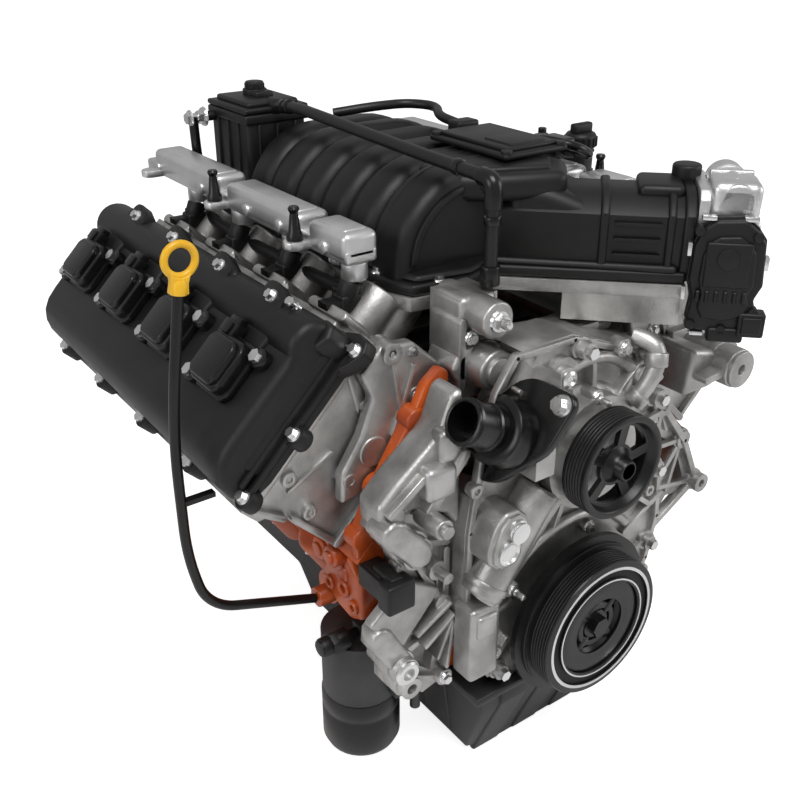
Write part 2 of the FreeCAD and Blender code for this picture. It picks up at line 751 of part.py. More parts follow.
def timing_cover():
    """The front cover: chain room behind, pump dome, bosses, screw lands and the coolant pipe."""
    owner = body()
    edge = [("-86", "rail_z"), ("-112", "-50"), ("-134", "-10"), ("-146", "40"), ("-146", "150"),
            ("-134", "236"), ("-118", "296"), ("-96", "328"), ("-20", "328"), ("40", "304"),
            ("98", "286"), ("114", "240"), ("122", "190"), ("140", "120"), ("146", "60"),
            ("136", "4"), ("112", "-44"), ("86", "rail_z")]
    pad(owner, outline(owner, "XZ", "block_length", edge), "cover_front - block_length")
    room = [("-52", "-52"), ("52", "-52"), ("56", "30"), ("86", "110"), ("86", "200"), ("48", "238"),
            ("-48", "238"), ("-86", "200"), ("-86", "110"), ("-56", "30")]
    pocket(owner, outline(owner, "XZ", "block_length", room), "chain_pocket", reverse=True)
    pieces = [owner]
    front = "-cover_front"
    for x, z, radius, reach in COVER_BOSSES:
        pieces.append(cylinder(repr(radius), f"{reach} + 6", (repr(x), f"{front} + 6", repr(z)), "-y"))
    pieces.append(cylinder("pump_dome", "pump_front - cover_front + 4", ("pump_x", f"{front} + 4", "pump_z"),
                           "-y"))
    pieces.append(cylinder("seal_radius + 12", "8", ("0", f"{front} + 2", "0"), "-y"))
    start = Vector(-46, value(front) - 12, 164)
    finish = Vector(-126, value(front) - 8, 64)
    run = finish - start
    pieces.append(cylinder("16", repr(run.Length), [repr(part) for part in start], tuple(run)))
    pieces.append(box(("46", "70", "90"), ("-104", f"{front} - 58", "216")))
    seat = box(("150", "128", "130"), ("-75", "-62", "-fit_gap"))
    passage = cylinder("neck_radius - neck_wall", "26", ("0", "0", "-26"))
    slant = placed(fused(seat, passage), ("neck_x", "neck_y", "neck_z"), NECK_TURN)
    holes = [slant, cylinder("seal_radius + seal_wall", "80", ("0", "-block_length + 1", "0"), "-y"),
             cylinder("pump_shaft/2 + running_gap", "120",
                      ("pump_x", "-impeller_rear + 12", "pump_z"), "-y"),
             cylinder("impeller_radius + 2", "impeller_width + 8",
                      ("pump_x", "-impeller_rear + 4", "pump_z"), "-y")]
    return keep(without(fused(*pieces), *holes), "timing_cover")


def front_seal():
    profile = [("seal_radius + running_gap", "-cover_front - 5"),
               ("seal_radius + seal_wall", "-cover_front - 5"),
               ("seal_radius + seal_wall", "-cover_front + 6"),
               ("seal_radius + running_gap", "-cover_front + 6")]
    return keep(revolved(profile), "front_seal")


def oil_pump():
    """A ring pump round the crankshaft nose, bolted to the block behind the chain."""
    rear = "-block_length"
    ring_body = cylinder("44", "9", ("0", rear, "0"), "-y")
    hole = cylinder("nose_radius + running_gap", "9", ("0", rear, "0"), "-y")
    return keep(without(ring_body, hole), "oil_pump")


def coolant_crossover():
    """The passage over the valley that feeds the pump from both heads, with its two spigots."""
    rear = "-block_length + 4"
    pieces = [box(("194", "44", "38"), ("-117.7", rear, "262")),
              box(("46", "46", "68"), ("-116", rear, "299")),
              cylinder("16", "64", ("-95", "-block_length + 48", "352"), "-y"),
              cylinder("5", "26", ("-95", "-block_length - 16", "352"), "-y"),
              cylinder("8", "46", ("66", "-block_length + 26", "284"), "+x")]
    return keep(fused(*pieces), "coolant_crossover")


def thermostat_housing():
    """A straight-through housing: a two-eared flange, a barrel and a plain hose neck."""
    owner = body()
    edge = [("-60", "30"), ("-48", "-4"), ("-24", "-38"), ("8", "-48"), ("44", "-56"), ("60", "-38"),
            ("52", "0"), ("26", "38"), ("-8", "48"), ("-44", "56"), ("-58", "46")]
    pad(owner, outline(owner, "XY", "0", edge), "9")
    pieces = [owner, cylinder("32", "32", ("0", "0", "0")),
              cylinder("neck_radius", "neck_length + 12", ("0", "0", "0"))]
    inside = cylinder("neck_radius - neck_wall", "neck_length + 14", ("0", "0", "-1"))
    housing = without(fused(*pieces), inside)
    spot = ("neck_x", "neck_y", "neck_z")
    return keep(placed(housing, spot, NECK_TURN), "thermostat_housing")


def cam_solenoid():
    pieces = [cylinder("11", "16", ("-112", "-cover_front - 28.3", "158"), "-y")]
    return keep(fused(*pieces), "cam_solenoid")


def accessory_bracket():
    """A webbed casting beside the cover: a rim, spokes to three bosses and open triangles."""
    owner = body()
    start = "block_length + fit_gap"
    edge = [("147", "-34"), ("160", "-36"), ("170", "16"), ("196", "50"), ("232", "44"), ("248", "56"),
            ("246", "76"), ("222", "108"), ("212", "138"), ("178", "168"), ("170", "196"), ("147", "200")]
    pad(owner, outline(owner, "XZ", start, edge), "22")
    for window in (((154, 26), (176, 66), (154, 84)), ((154, 100), (184, 80), (198, 122), (154, 152)),
                   ((194, 70), (226, 62), (208, 104)), ((153, -22), (160, -20), (163, 10), (153, 14))):
        corners = [(repr(float(a)), repr(float(b))) for a, b in window]
        pocket(owner, outline(owner, "XZ", start, corners), "22", reverse=True)
    pieces = [owner]
    holes = []
    for x, z, radius, reach in ((158, 188, 12, 34), (206, 128, 11, 30), (240, 60, 12, 40)):
        pieces.append(cylinder(repr(float(radius)), repr(float(reach)), (repr(float(x)), f"-({start})",
                                                                       repr(float(z))), "-y"))
        holes.append(cylinder("5", "60", (repr(float(x)), f"-({start}) + 1", repr(float(z))), "-y"))
    return keep(without(fused(*pieces), *holes), "accessory_bracket")


def alternator_bracket():
    """A long boss that reaches forward from a foot on the left head's front face."""
    head_front = "right_bank_y - bank_stagger - head_half - fit_gap"
    foot = box(("66", f"{head_front} + block_length + 16", "58"), ("178", "-block_length - 16", "210"))
    arm = cylinder("21", "84", ("211", "-block_length - 4", "240"), "-y")
    rib = box(("50", "52", "9"), ("158", "-block_length - 62", "234"))
    hole = cylinder("6", "30", ("211", "-block_length - 89", "240"), "+y")
    return keep(without(fused(foot, arm, rib), hole), "alternator_bracket")


def compressor_bracket():
    """A cast arm beside the cover: an upper boss and pin, a flat web and a lower two-hole foot."""
    owner = body()
    start = "block_length + fit_gap"
    edge = [("-146.3", "-52"), ("-146.3", "140"), ("-166", "176"), ("-200", "194"), ("-230", "186"),
            ("-236", "168"), ("-218", "148"), ("-208", "120"), ("-206", "72"), ("-236", "44"),
            ("-238", "26"), ("-222", "-4"), ("-222", "-26"), ("-200", "-38"), ("-176", "-60")]
    pad(owner, outline(owner, "XZ", start, edge), "24")
    for window in (((-196, 60), (-160, 30), (-160, 100)), ((-190, 34), (-160, 10), (-166, -34),
                                                        (-196, -6))):
        corners = [(repr(float(a)), repr(float(b))) for a, b in window]
        pocket(owner, outline(owner, "XZ", f"{start} + 10", corners), "14", reverse=True)
    pieces = [owner, cylinder("17", "50", ("-203", f"-({start})", "147"), "-y"),
              cylinder("6", "56", ("-170", f"-({start})", "107"), "-y"),
              cylinder("15", "50", ("-216", f"-({start})", "8"), "-y"),
              cylinder("12", "50", ("-209", f"-({start})", "-18"), "-y")]
    holes = [cylinder("4", "40", ("-203", f"-({start}) - 51", "147"), "+y"),
             cylinder("6", "52", ("-209", f"-({start}) - 51", "-18"), "+y")]
    return keep(without(fused(*pieces), *holes), "compressor_bracket")


def cam_sensor():
    """A moulded pick-up that leans on the block's corner, its plug socket facing forward."""
    pieces = [box(("24", "54", "24"), ("-239", "-block_length - 54 - fit_gap", "98")),
              box(("28", "18", "28"), ("-241", "-block_length - 58 - fit_gap", "96"))]
    return keep(fused(*pieces), "cam_sensor")


# --- oil system --------------------------------------------------------------------------------

def oil_pan():
    """A deep front sump under a shallow rear, drawn hollow with its rail turned outwards."""
    outer = body()
    side = [("-pan_front", "rail_z - 2"), ("0", "rail_z - 2"), ("0", "shallow_z"),
            ("-sump_rear + 40", "shallow_z"), ("-sump_rear", "-pan_depth"),
            ("-sump_front", "-pan_depth"), ("-pan_front + 14", "rail_z - 40"),
            ("-pan_front + 14", "rail_z - 12"), ("-pan_front", "rail_z - 12")]
    pad(outer, outline(outer, "YZ", "0", side), "2*rail_half", midplane=True)
    trims = []
    for sign in (-1, 1):
        lower = body()
        wedge = [(f"{sign}*(rail_half + 1)", "rail_z - 12"), (f"{sign}*(sump_half + 14)", "rail_z - 12"),
                 (f"{sign}*(sump_half + 12)", "rail_z - 40"), (f"{sign}*sump_half", "-pan_depth + 24"),
                 (f"{sign}*(sump_half - 40)", "-pan_depth - 1"),
                 (f"{sign}*(rail_half + 1)", "-pan_depth - 1")]
        pad(lower, outline(lower, "XZ", "-1", wedge), "pan_front + 2")
        trims.append(lower)
    room = body()
    inner = [("-pan_front + 18", "rail_z"), ("-6", "rail_z"), ("-6", "shallow_z + pan_wall"),
             ("-sump_rear + 37", "shallow_z + pan_wall"), ("-sump_rear - 4", "-pan_depth + pan_wall"),
             ("-sump_front + 2", "-pan_depth + pan_wall"), ("-pan_front + 18", "rail_z - 40")]
    pad(room, outline(room, "YZ", "0", inner), "2*(sump_half - pan_wall)", midplane=True)
    corners = []
    for sign in (-1, 1):
        corner = body()
        edge = [(f"{sign}*(sump_half + 4)", "-pan_depth + 30.7"),
                (f"{sign}*(sump_half - 50)", "-pan_depth - 3"),
                (f"{sign}*(sump_half + 4)", "-pan_depth - 3")]
        pad(corner, outline(corner, "XZ", "-1", edge), "pan_front + 2")
        corners.append(corner)
    return keep(without(outer, *trims, without(room, *corners)), "oil_pan")


def pan_gasket():
    owner = body()
    half = "rail_half - 2"
    rim = [(f"-({half})", "-block_length + 1"), (half, "-block_length + 1"), (half, "-1"),
           (f"-({half})", "-1")]
    pad(owner, outline(owner, "XY", "rail_z - 2", rim), "2")
    inner = "cavity_radius + 5"
    hole = [(f"-({inner})", "-block_length + 12"), (inner, "-block_length + 12"), (inner, "-12"),
            (f"-({inner})", "-12")]
    pocket(owner, outline(owner, "XY", "rail_z - 2", hole), "2", reverse=True)
    return keep(owner, "pan_gasket")


def hex_screw(radius, length, at, along):
    """A screw shown by its flanged hexagon head; the shank is part of the threaded joint."""
    head = doc.addObject("Part::Prism", fresh("prism"))
    head.Polygon = 6
    head.setExpression("Circumradius", bound(radius))
    head.setExpression("Height", bound(length))
    return stand(head, at, along)


def pan_bolts():
    screws = []
    for sign in (-1, 1):
        for index in range(6):
            at = (f"{sign}*(rail_half - 6)", f"-30 - {index}*90", "rail_z - 12")
            screws.append(hex_screw("6", "6", at, "-z"))
    return keep(group(*screws), "pan_bolts")


def drain_plug():
    """The plug stands square on the sump's sloping rear wall."""
    drop = "40*(pan_depth - 197)/(pan_depth + shallow_z)"
    spot = ("0", f"-sump_rear + {drop} + fit_gap", "-197")
    return keep(hex_screw("11", "8", spot, (0, 75, -40)), "drain_plug")


def oil_pickup():
    route = [(0, -488, -58.3), (0, -488, -150), (0, -400, -190)]
    pipe = tube_along(route, 11, 8)
    bell = Part.makeCone(30, 12, 20, Vector(0, -396, -212), Vector(0, 0, 1))
    return shaped(pipe.fuse(bell), "oil_pickup")


def oil_filter():
    profile = [("0", "0"), ("filter_radius - 8", "0"), ("filter_radius", "8"),
               ("filter_radius", "filter_height - 6"), ("filter_radius - 3", "filter_height"),
               ("0", "filter_height")]
    can = revolved(profile, along="+z", at=("filter_x", "filter_y", "filter_bottom"))
    return keep(can, "oil_filter")


def oil_filter_adapter():
    """The cast elbow that carries the filter below the block's side, with its drain spigot."""
    top = "adapter_top - filter_bottom - filter_height - fit_gap"
    base = ("filter_x", "filter_y", "filter_bottom + filter_height + fit_gap")
    barrel = cylinder("filter_radius - 2", top, base)
    arm = box(("-filter_x - skirt_half - 7.5", "56", "36"),
              ("filter_x + 1", "filter_y - 28", "adapter_top - 42"))
    boss = box(("22", "18", "26"), ("filter_x - 15.7", "filter_y - 29", "adapter_top - 4"))
    skirt = box(("44", "32", "40"), ("filter_x + 12", "filter_y - 52", "adapter_top - 74"))
    spigot = cylinder("6", "52", ("filter_x + 46", "filter_y - 42", "adapter_top - 110"), "+z")
    return keep(fused(barrel, arm, boss, skirt, spigot), "oil_filter_adapter")


def oil_pressure_sensor():
    at = ("filter_x - 30", "filter_y - 20", "adapter_top + 13")
    pieces = [cylinder("9", "34", at, "-x"), cylinder("12", "14", at, "-x"),
              cylinder("6", "14", at, "+x")]
    return keep(fused(*pieces), "oil_pressure_sensor")


# --- heads and covers, in the bank's own frame -------------------------------------------------

def cylinder_head(side):
    owner = body()
    low = "deck_height + gasket"
    section = [("-head_foot", low), ("deck_inboard - 20", low), ("deck_inboard - 2", f"{low} + 14"),
               ("head_inboard", "head_rail - 40"), ("head_shoulder", "head_rail - 24"),
               ("head_shoulder", "head_rail"), ("-head_shoulder", "head_rail"),
               ("-head_shoulder", "head_rail - 24"), ("-head_foot - 8", "head_rail - 36"),
               ("-head_foot", f"{low} + 30")]
    pad(owner, outline(owner, "XZ", "-head_half", section), "2*head_half")
    tools = []
    for step in BORE_STEPS:
        y = f"({step})*bore_spacing"
        tools.append(cylinder("plug_bore/2", "70", ("coil_lateral", y, "head_rail - 50"), "+z"))
        tools.append(cylinder("bore/2 - 6", "16", ("0", y, low), "+z"))
        port = box(("34", "port_width", "port_height"),
                   ("head_inboard - 26", f"{y} - port_width/2", "head_rail - 96"))
        tools.append(port)
        out = box(("30", "port_width", "port_height - 8"),
                  ("-head_foot - 16", f"{y} - port_width/2", f"{low} + 36"))
        tools.append(out)
    casting = without(owner, *tools)
    return keep(to_bank(casting, side), f"cylinder_head_{side}")


def head_gaskets():
    sheets = []
    for side in SIDES:
        owner = body()
        rim = [("-head_foot", "-head_half"), ("deck_inboard - 20", "-head_half"),
               ("deck_inboard - 20", "head_half"), ("-head_foot", "head_half")]
        pad(owner, outline(owner, "XY", "deck_height", rim), "gasket")
        spots = [("0", f"({step})*bore_spacing", "bore/2 + 1") for step in BORE_STEPS]
        pocket(owner, circles(owner, "XY", "deck_height", spots), "gasket", reverse=True)
        sheets.append(to_bank(owner, side))
    return keep(group(*sheets), "head_gaskets")


def valve_cover(side):
    """A moulded cover: a flanged rail, a sloping outboard wall, a coil deck and a rocker ridge."""
    owner = body()
    rail = "head_rail"
    rim = [("-cover_outboard", rail), ("cover_inboard", rail),
           ("cover_inboard", f"{rail} + cover_flange"), ("-cover_outboard", f"{rail} + cover_flange")]
    pad(owner, outline(owner, "XZ", "-cover_half", rim), "2*cover_half")
    crown = [("-cover_outboard + 7", f"{rail} + 4"), ("cover_inboard - 6", f"{rail} + 4"),
             ("cover_inboard - 6", "ridge_height - 6"), ("ridge_lateral + 22", "ridge_height + 16"),
             ("ridge_lateral + 8", "ridge_height + 25"), ("ridge_lateral - 10", "ridge_height + 26"),
             ("ridge_lateral - 22", "coil_deck"), ("-36", "coil_deck"), ("-50", "coil_deck - 2"),
             ("-70", "coil_deck - 14"), ("-84", "coil_deck - 34")]
    pad(owner, outline(owner, "XZ", "-cover_half + 12", crown), "2*cover_half - 24")
    shell = owner
    tools = []
    inner = body()
    room = [("-cover_outboard + 14", f"{rail} - 1"), ("cover_inboard - 13", f"{rail} - 1"),
            ("cover_inboard - 13", "ridge_height - 4"), ("ridge_lateral", "ridge_height + 18"),
            ("ridge_lateral - 20", "coil_deck - 5"), ("-46", "coil_deck - 7"),
            ("-78", "coil_deck - 34")]
    pad(inner, outline(inner, "XZ", "-cover_half + 18", room), "2*cover_half - 36")
    tools.append(inner)
    tubes = [cylinder("plug_bore/2 + 5", f"coil_deck - {rail} - 1",
                      ("coil_lateral", f"({step})*bore_spacing", f"{rail} + 1")) for step in BORE_STEPS]
    hollow = without(shell, *tools)
    wells = [cylinder("plug_bore/2", "coil_deck - head_rail + 4",
                      ("coil_lateral", f"({step})*bore_spacing", f"{rail} - 2")) for step in BORE_STEPS]
    bosses = []
    for step in (-1, 0, 1):
        bosses.append(cylinder("10", "cover_flange + 8",
                               ("cover_inboard + 4", f"({step})*bore_spacing", rail)))
    for step in (-1.5, -0.5, 0.5, 1.5):
        bosses.append(cylinder("15", "cover_flange + 12",
                               ("-cover_outboard + 6", f"({step})*bore_spacing + 20", rail)))
    if side == "left":
        lean = "filler_x/half_root"
        root = ("62", "-filler_y + right_bank_y - bank_stagger", f"{lean} + 62")
        length = f"filler_seat - ({lean} + 124)*half_root"
        bosses.append(cylinder("filler_radius + 2", length, root, (1, 0, 1)))
        wells.append(cylinder("filler_radius - 3", f"{length} + 12", root, (1, 0, 1)))
    cover = without(fused(hollow, *tubes, *bosses), *wells)
    return keep(to_bank(cover, side), f"valve_cover_{side}")


def coil(side, step):
    """One coil on its plug: a flanged base with two ears, a raised body and a boot in the well."""
    y = f"({step})*bore_spacing"
    base_z = "coil_deck"
    pieces = [box(("coil_width", "coil_length - 8", "coil_flange"),
                  ("coil_lateral - coil_width/2", f"{y} - coil_length/2 + 4", base_z))]
    pieces.append(box(("coil_width - 18", "coil_length - 18", "coil_body + coil_flange"),
                      ("coil_lateral - coil_width/2 + 9", f"{y} - coil_length/2 + 9", base_z)))
    for sign in (-1, 1):
        pieces.append(cylinder("9", "coil_flange", (f"coil_lateral + {sign}*coil_bolt_l",
                                                    f"{y} - {sign}*(coil_bolt_y - 6)", base_z)))
    pieces.append(box(("11.5", "22", "coil_flange + 8"),
                      ("coil_lateral + coil_width/2 - 10", f"{y} + coil_length/2 - 26", base_z)))
    pieces.append(cylinder("plug_bore/2 - 1", "coil_deck - head_rail + 20",
                           ("coil_lateral", y, "head_rail - 20")))
    return fused(*pieces)


def ignition_coils(side):
    coils = [to_bank(coil(side, step), side) for step in BORE_STEPS]
    return keep(group(*coils), f"ignition_coils_{side}")


def cover_bolts():
    """Rail screws of both covers and the two screws of each coil."""
    sets = []
    for side in SIDES:
        spots = []
        for step in (-1, 0, 1):
            spots.append(("cover_inboard + 4", f"({step})*bore_spacing", "head_rail + cover_flange + 8"))
        for step in BORE_STEPS:
            middle = f"({step})*bore_spacing"
            spots.append(("-cover_outboard + 6", f"{middle} + 20", "head_rail + cover_flange + 12"))
            for sign in (-1, 1):
                spots.append((f"coil_lateral + {sign}*coil_bolt_l",
                              f"{middle} - {sign}*(coil_bolt_y - 6)", "coil_deck + coil_flange"))
        screws = [hex_screw("6.5", "6", spot, "+z") for spot in spots]
        sets.append(to_bank(group(*screws), side))
    return keep(group(*sets), "cover_bolts")


def spark_plugs():
    plugs = []
    for side in SIDES:
        for step in BORE_STEPS:
            at = ("coil_lateral", f"({step})*bore_spacing", "head_rail - 50")
            stem = cylinder("6", "28", at)
            nut = hex_screw("9", "12", at, "+z")
            plugs.append(to_bank(fused(stem, nut), side))
    return keep(group(*plugs), "spark_plugs")


# --- intake, throttle and fuel -----------------------------------------------------------------

SNOUT_WAY = (1, -1, 0)
SHAFT_WAY = (1, 1, 0)


def snout_x(ahead, aside):
    return f"(({ahead}) - ({aside}))*half_root"


def snout_y(ahead, aside):
    return f"-(({ahead}) + ({aside}))*half_root"


def snout_spot(ahead, aside, height):
    """A point on the inlet's own lines: ahead along its heading, aside towards the right bank."""
    return (snout_x(ahead, aside), snout_y(ahead, aside), height)


def snout_block(floor, height, corners):
    """A block whose plan is given by ahead and aside values."""
    owner = body()
    plan = [(snout_x(a, b), snout_y(a, b)) for a, b in corners]
    pad(owner, outline(owner, "XY", floor, plan), height)
    return owner


def intake_flange(floor, height, grow):
    """The plan shared by the manifold's upper shell and its lower casting."""
    owner = body()
    plan = [(f"-136 - {grow}", f"-38 + {grow}"), (f"-136 - {grow}", "-416"), (f"-124 - {grow}", "-446"),
            ("-60", f"-456 - {grow}"), ("-20", f"-442 - {grow}"),
            (snout_x("snout_end - 4", "snout_offset + 54"), snout_y("snout_end - 4", "snout_offset + 54")),
            (snout_x("snout_end - 4", "snout_offset - 50"), snout_y("snout_end - 4", "snout_offset - 50")),
            (f"136 + {grow}", "-444"), (f"136 + {grow}", f"-38 + {grow}")]
    pad(owner, outline(owner, "XY", floor, plan), height)
    return owner


def barrel_block(radius, floor, front, length):
    """The long vaulted form over the runners, as one profile along the engine."""
    owner = body()
    turns = range(0, 91, 15)
    vault = [(f"barrel_x + ({radius})*cos({turn} deg)", f"barrel_z + ({radius})*sin({turn} deg)")
             for turn in turns]
    other = [(f"-({a})", b) for a, b in reversed(vault)]
    feet = [(f"-(barrel_x + ({radius}))", floor), (f"barrel_x + ({radius})", floor)]
    pad(owner, outline(owner, "XZ", front, vault + other + feet), length)
    return owner


def intake_upper():
    """The moulded shell: a vault over the runners and an inlet that leans to the left."""
    length = "(barrel_rear - barrel_front)"
    half = "snout_half_width"
    pieces = [intake_flange("shell_split", "12", 0),
              barrel_block("barrel_radius", "shell_split", "-barrel_rear", length),
              snout_block("shell_split", "snout_half_height*2 - 7",
                          [("250", f"snout_offset - {half}"), ("250", f"snout_offset + {half}"),
                           ("snout_end", f"snout_offset + {half}"),
                           ("snout_end", f"snout_offset - {half}")])]
    room = barrel_block("barrel_radius - 4", "shell_split - 1", "-barrel_rear + 4", f"{length} - 8")
    tunnel = cylinder("throttle_bore/2", "snout_end - 229", snout_spot("230", "snout_offset", "snout_z"),
                      SNOUT_WAY)
    return keep(without(fused(*pieces), room, tunnel), "intake_upper")


def intake_lower():
    """The metal half: a plate under the shell, a runner to every port and the inlet's floor."""
    pieces = [intake_flange("intake_foot", "shell_split - intake_foot - fit_gap", 3)]
    half = "snout_half_width"
    pieces.append(snout_block("intake_foot - 31", "31",
                              [("372", f"snout_offset - {half} + 27"), ("372", f"snout_offset + {half}"),
                               ("snout_end - 6", f"snout_offset + {half}"),
                               ("snout_end - 6", f"snout_offset - {half} + 27")]))
    holes = []
    for side in SIDES:
        for step in BORE_STEPS:
            mouth = bank_point(side, "head_inboard + fit_gap", f"({step})*bore_spacing", "head_rail - 73")
            way = 1 if side == "right" else -1
            top = Vector(mouth.x + way*34, mouth.y, value("intake_foot") - 2)
            run = top - mouth
            spot = [repr(part) for part in mouth]
            pieces.append(cylinder("19", repr(run.Length), spot, tuple(run)))
            holes.append(cylinder("15", repr(run.Length + 30), spot, tuple(run)))
    return keep(without(fused(*pieces), *holes), "intake_lower")


def throttle_body():
    """A cast barrel between the inlet and the air duct, flattened where its gear cover sits."""
    barrel = cylinder("throttle_bore/2 + throttle_wall", "throttle_length - fit_gap",
                      snout_spot("snout_end + fit_gap", "snout_offset", "snout_z"), SNOUT_WAY)
    plate = snout_block("snout_z - 52", "104",
                        [("snout_end + fit_gap", "snout_offset - 52"),
                         ("snout_end + fit_gap", "gear_face - fit_gap"),
                         ("snout_end + 12", "gear_face - fit_gap"), ("snout_end + 12", "snout_offset - 52")])
    motor = snout_block("snout_z + 12", "48",
                        [("snout_end + 14", "snout_offset - 66"), ("snout_end + 14", "gear_face - fit_gap"),
                         ("snout_end + 58", "gear_face - fit_gap"), ("snout_end + 58", "snout_offset - 66")])
    beyond = snout_block("snout_z - 100", "200",
                         [("snout_end - 1", "gear_face - fit_gap"), ("snout_end - 1", "gear_face + 40"),
                          ("snout_end + 90", "gear_face + 40"), ("snout_end + 90", "gear_face - fit_gap")])
    bore = cylinder("throttle_bore/2", "throttle_length + 4",
                    snout_spot("snout_end - 2", "snout_offset", "snout_z"), SNOUT_WAY)
    mouth = cylinder("throttle_bore/2 + 3", "mouth_depth + 1",
                     snout_spot("snout_end + throttle_length - mouth_depth", "snout_offset", "snout_z"),
                     SNOUT_WAY)
    return keep(without(fused(barrel, plate, motor), beyond, bore, mouth), "throttle_body")


def throttle_cover():
    """The gear cover on the throttle's right flank, with its connector at the foot."""
    face = "gear_face"
    shell = snout_block("snout_z - 100", "122",
                        [("snout_end", face), ("snout_end", f"{face} + 12"),
                         ("snout_end + 6", f"{face} + 18"), ("snout_end + 60", f"{face} + 18"),
                         ("snout_end + 68", f"{face} + 12"), ("snout_end + 68", face)])
    plug = snout_block("snout_z - 88", "28",
                       [("snout_end + 34", f"{face} + 4"), ("snout_end + 34", f"{face} + 23"),
                        ("snout_end + 78", f"{face} + 23"), ("snout_end + 78", f"{face} + 4")])
    return keep(fused(shell, plug), "throttle_cover")


def throttle_plate():
    """The butterfly on its shaft, square across the bore at rest."""
    middle = "snout_end + throttle_length/2"
    disc = cylinder("throttle_bore/2 - running_gap", "2.5",
                    snout_spot(f"{middle} - 1.25", "snout_offset", "snout_z"), SNOUT_WAY)
    rod = cylinder("throttle_shaft/2", "throttle_bore - 2",
                   snout_spot(middle, "snout_offset + throttle_bore/2 - 1", "snout_z"), SHAFT_WAY)
    return keep(fused(disc, rod), "throttle_plate")


def fuel_rail(side):
    """One rail: a stepped bar with screw tabs on its outboard edge and an end fitting."""
    sign = -1 if side == "right" else 1
    lead = f"({BANK_Y[side]})"
    x = f"{sign}*rail_x"
    bar = box(("rail_width", "462", "rail_height - 14"),
              (f"{x} - rail_width/2", f"{lead} - 184", "rail_base + 14"))
    pieces = [bar]
    for place in (-120, 55, 230):
        tab = box(("22", "26", "9"), (f"{sign}*(rail_x + rail_width/2 + 8) - 11", f"{lead} + {place}",
                                     "rail_base + 14"))
        pieces.append(tab)
    for step in BORE_STEPS:
        cup = cylinder("13", "20", (x, f"{lead} + ({step})*bore_spacing", "rail_base - 4"), "+z")
        pieces.append(cup)
    seat = "shell_split + 12 + fit_gap"
    for place in (-112, 74):
        inner = f"{sign}*(rail_x - rail_width/2 - 4)"
        riser = box(("10", "20", f"rail_base + 16 - ({seat})"),
                    (f"{inner} - 5", f"{lead} + {place}", seat))
        lug = box(("24", "20", "9"), (f"{sign}*(rail_x - rail_width/2 - 8) - 12", f"{lead} + {place}", seat))
        pieces += [riser, lug]
    return keep(fused(*pieces), f"fuel_rail_{side}")


def rail_posts():
    """Tall screws that hold the rails' tabs, two to a rail."""
    posts = []
    for side in SIDES:
        sign = -1 if side == "right" else 1
        for place in (-107, 68):
            x = f"{sign}*(rail_x + rail_width/2 + 8)"
            y = f"({BANK_Y[side]}) + {place}"
            stem = cylinder("4.5", "34", (x, y, "rail_base + 23 + fit_gap"))
            nut = hex_screw("8", "9", (x, y, "rail_base + 23 + fit_gap"), "+z")
            posts.append(fused(stem, nut))
    return keep(group(*posts), "rail_posts")


def fuel_injectors():
    """Eight injectors between the heads and the rails' cups, each with its plug socket."""
    units = []
    for side in SIDES:
        for step in BORE_STEPS:
            foot = bank_point(side, "head_shoulder + 0.6", f"({step})*bore_spacing", "head_rail - 14")
            sign = -1 if side == "right" else 1
            upper = Vector(sign*value("rail_x"), foot.y, value("rail_base - 8"))
            run = upper - foot
            spot = [repr(part) for part in foot]
            stem = cylinder("injector_radius", repr(run.Length), spot, tuple(run))
            middle = foot + run*0.45
            socket = box(("26", "16", "16"), (repr(middle.x + (sign*14 - 13)), repr(middle.y - 8),
                                              repr(middle.z - 8)))
            beyond = box(("60", "2*head_half", "90"), ("head_shoulder + fit_gap - 60", "-head_half",
                                                     "head_rail - 60"))
            units.append(without(fused(stem, socket), to_bank(group(beyond), side)))
    return keep(group(*units), "fuel_injectors")


# --- breather, filler, dipstick, fastenings ----------------------------------------------------

def vent_separator():
    """A moulded box at the manifold's rear that parts oil from the crankcase breath."""
    shell = box(("box_width", "box_depth", "box_lid - box_floor"), ("box_x", "box_y", "box_floor"))
    room = box(("box_width - 8", "box_depth - 8", "box_lid - box_floor"),
               ("box_x + 4", "box_y + 4", "box_floor + 5"))
    spigot = cylinder("6", "18", ("box_x + 1", "box_y + 84", "box_lid - 12"), "-x")
    return keep(fused(without(shell, room), spigot), "vent_separator")


def separator_cap():
    """The box's lid with its capped turret and the hose spigot."""
    lid = box(("box_width + 6", "box_depth + 6", "13"), ("box_x - 3", "box_y - 3", "box_lid + fit_gap"))
    turret = cylinder("15", "22", ("box_x + 44", "box_y + 58", "box_lid + fit_gap"))
    knob = cylinder("11", "29", ("box_x + 44", "box_y + 58", "box_lid + fit_gap"))
    return keep(fused(lid, turret, knob), "separator_cap")


def vent_hose():
    route = [(-72, -100, 477), (-74, -150, 484), (-76, -400, 476), (-76, -486, 474), (-76, -503, 458),
             (-76, -503, 372)]
    return shaped(tube_along(route, 6.5, 4.0), "vent_hose")


def vacuum_hose():
    route = [(-24, -150, 472), (20, -170, 478), (66, -176, 478), (84, -212, 478), (62, -244, 474),
             (59, -281, 472)]
    return shaped(tube_along(route, 5.5, 3.5), "vacuum_hose")


def pressure_sensor_module():
    lid = box(("88", "126", "11"), ("2", "-430", "barrel_z + barrel_radius + fit_gap"))
    plug = box(("30", "22", "14"), ("44", "-304", "barrel_z + barrel_radius + fit_gap"))
    return keep(fused(lid, plug), "pressure_sensor_module")


def oil_filler_neck():
    neck = cylinder("filler_radius", "filler_height", ("filler_x", "filler_y", "filler_seat + fit_gap"))
    foot = cylinder("filler_radius + 2", "8", ("filler_x", "filler_y", "filler_seat + fit_gap"))
    bore = cylinder("filler_radius - 3", "filler_height + 2",
                    ("filler_x", "filler_y", "filler_seat + fit_gap - 1"))
    return keep(without(fused(neck, foot), bore), "oil_filler_neck")


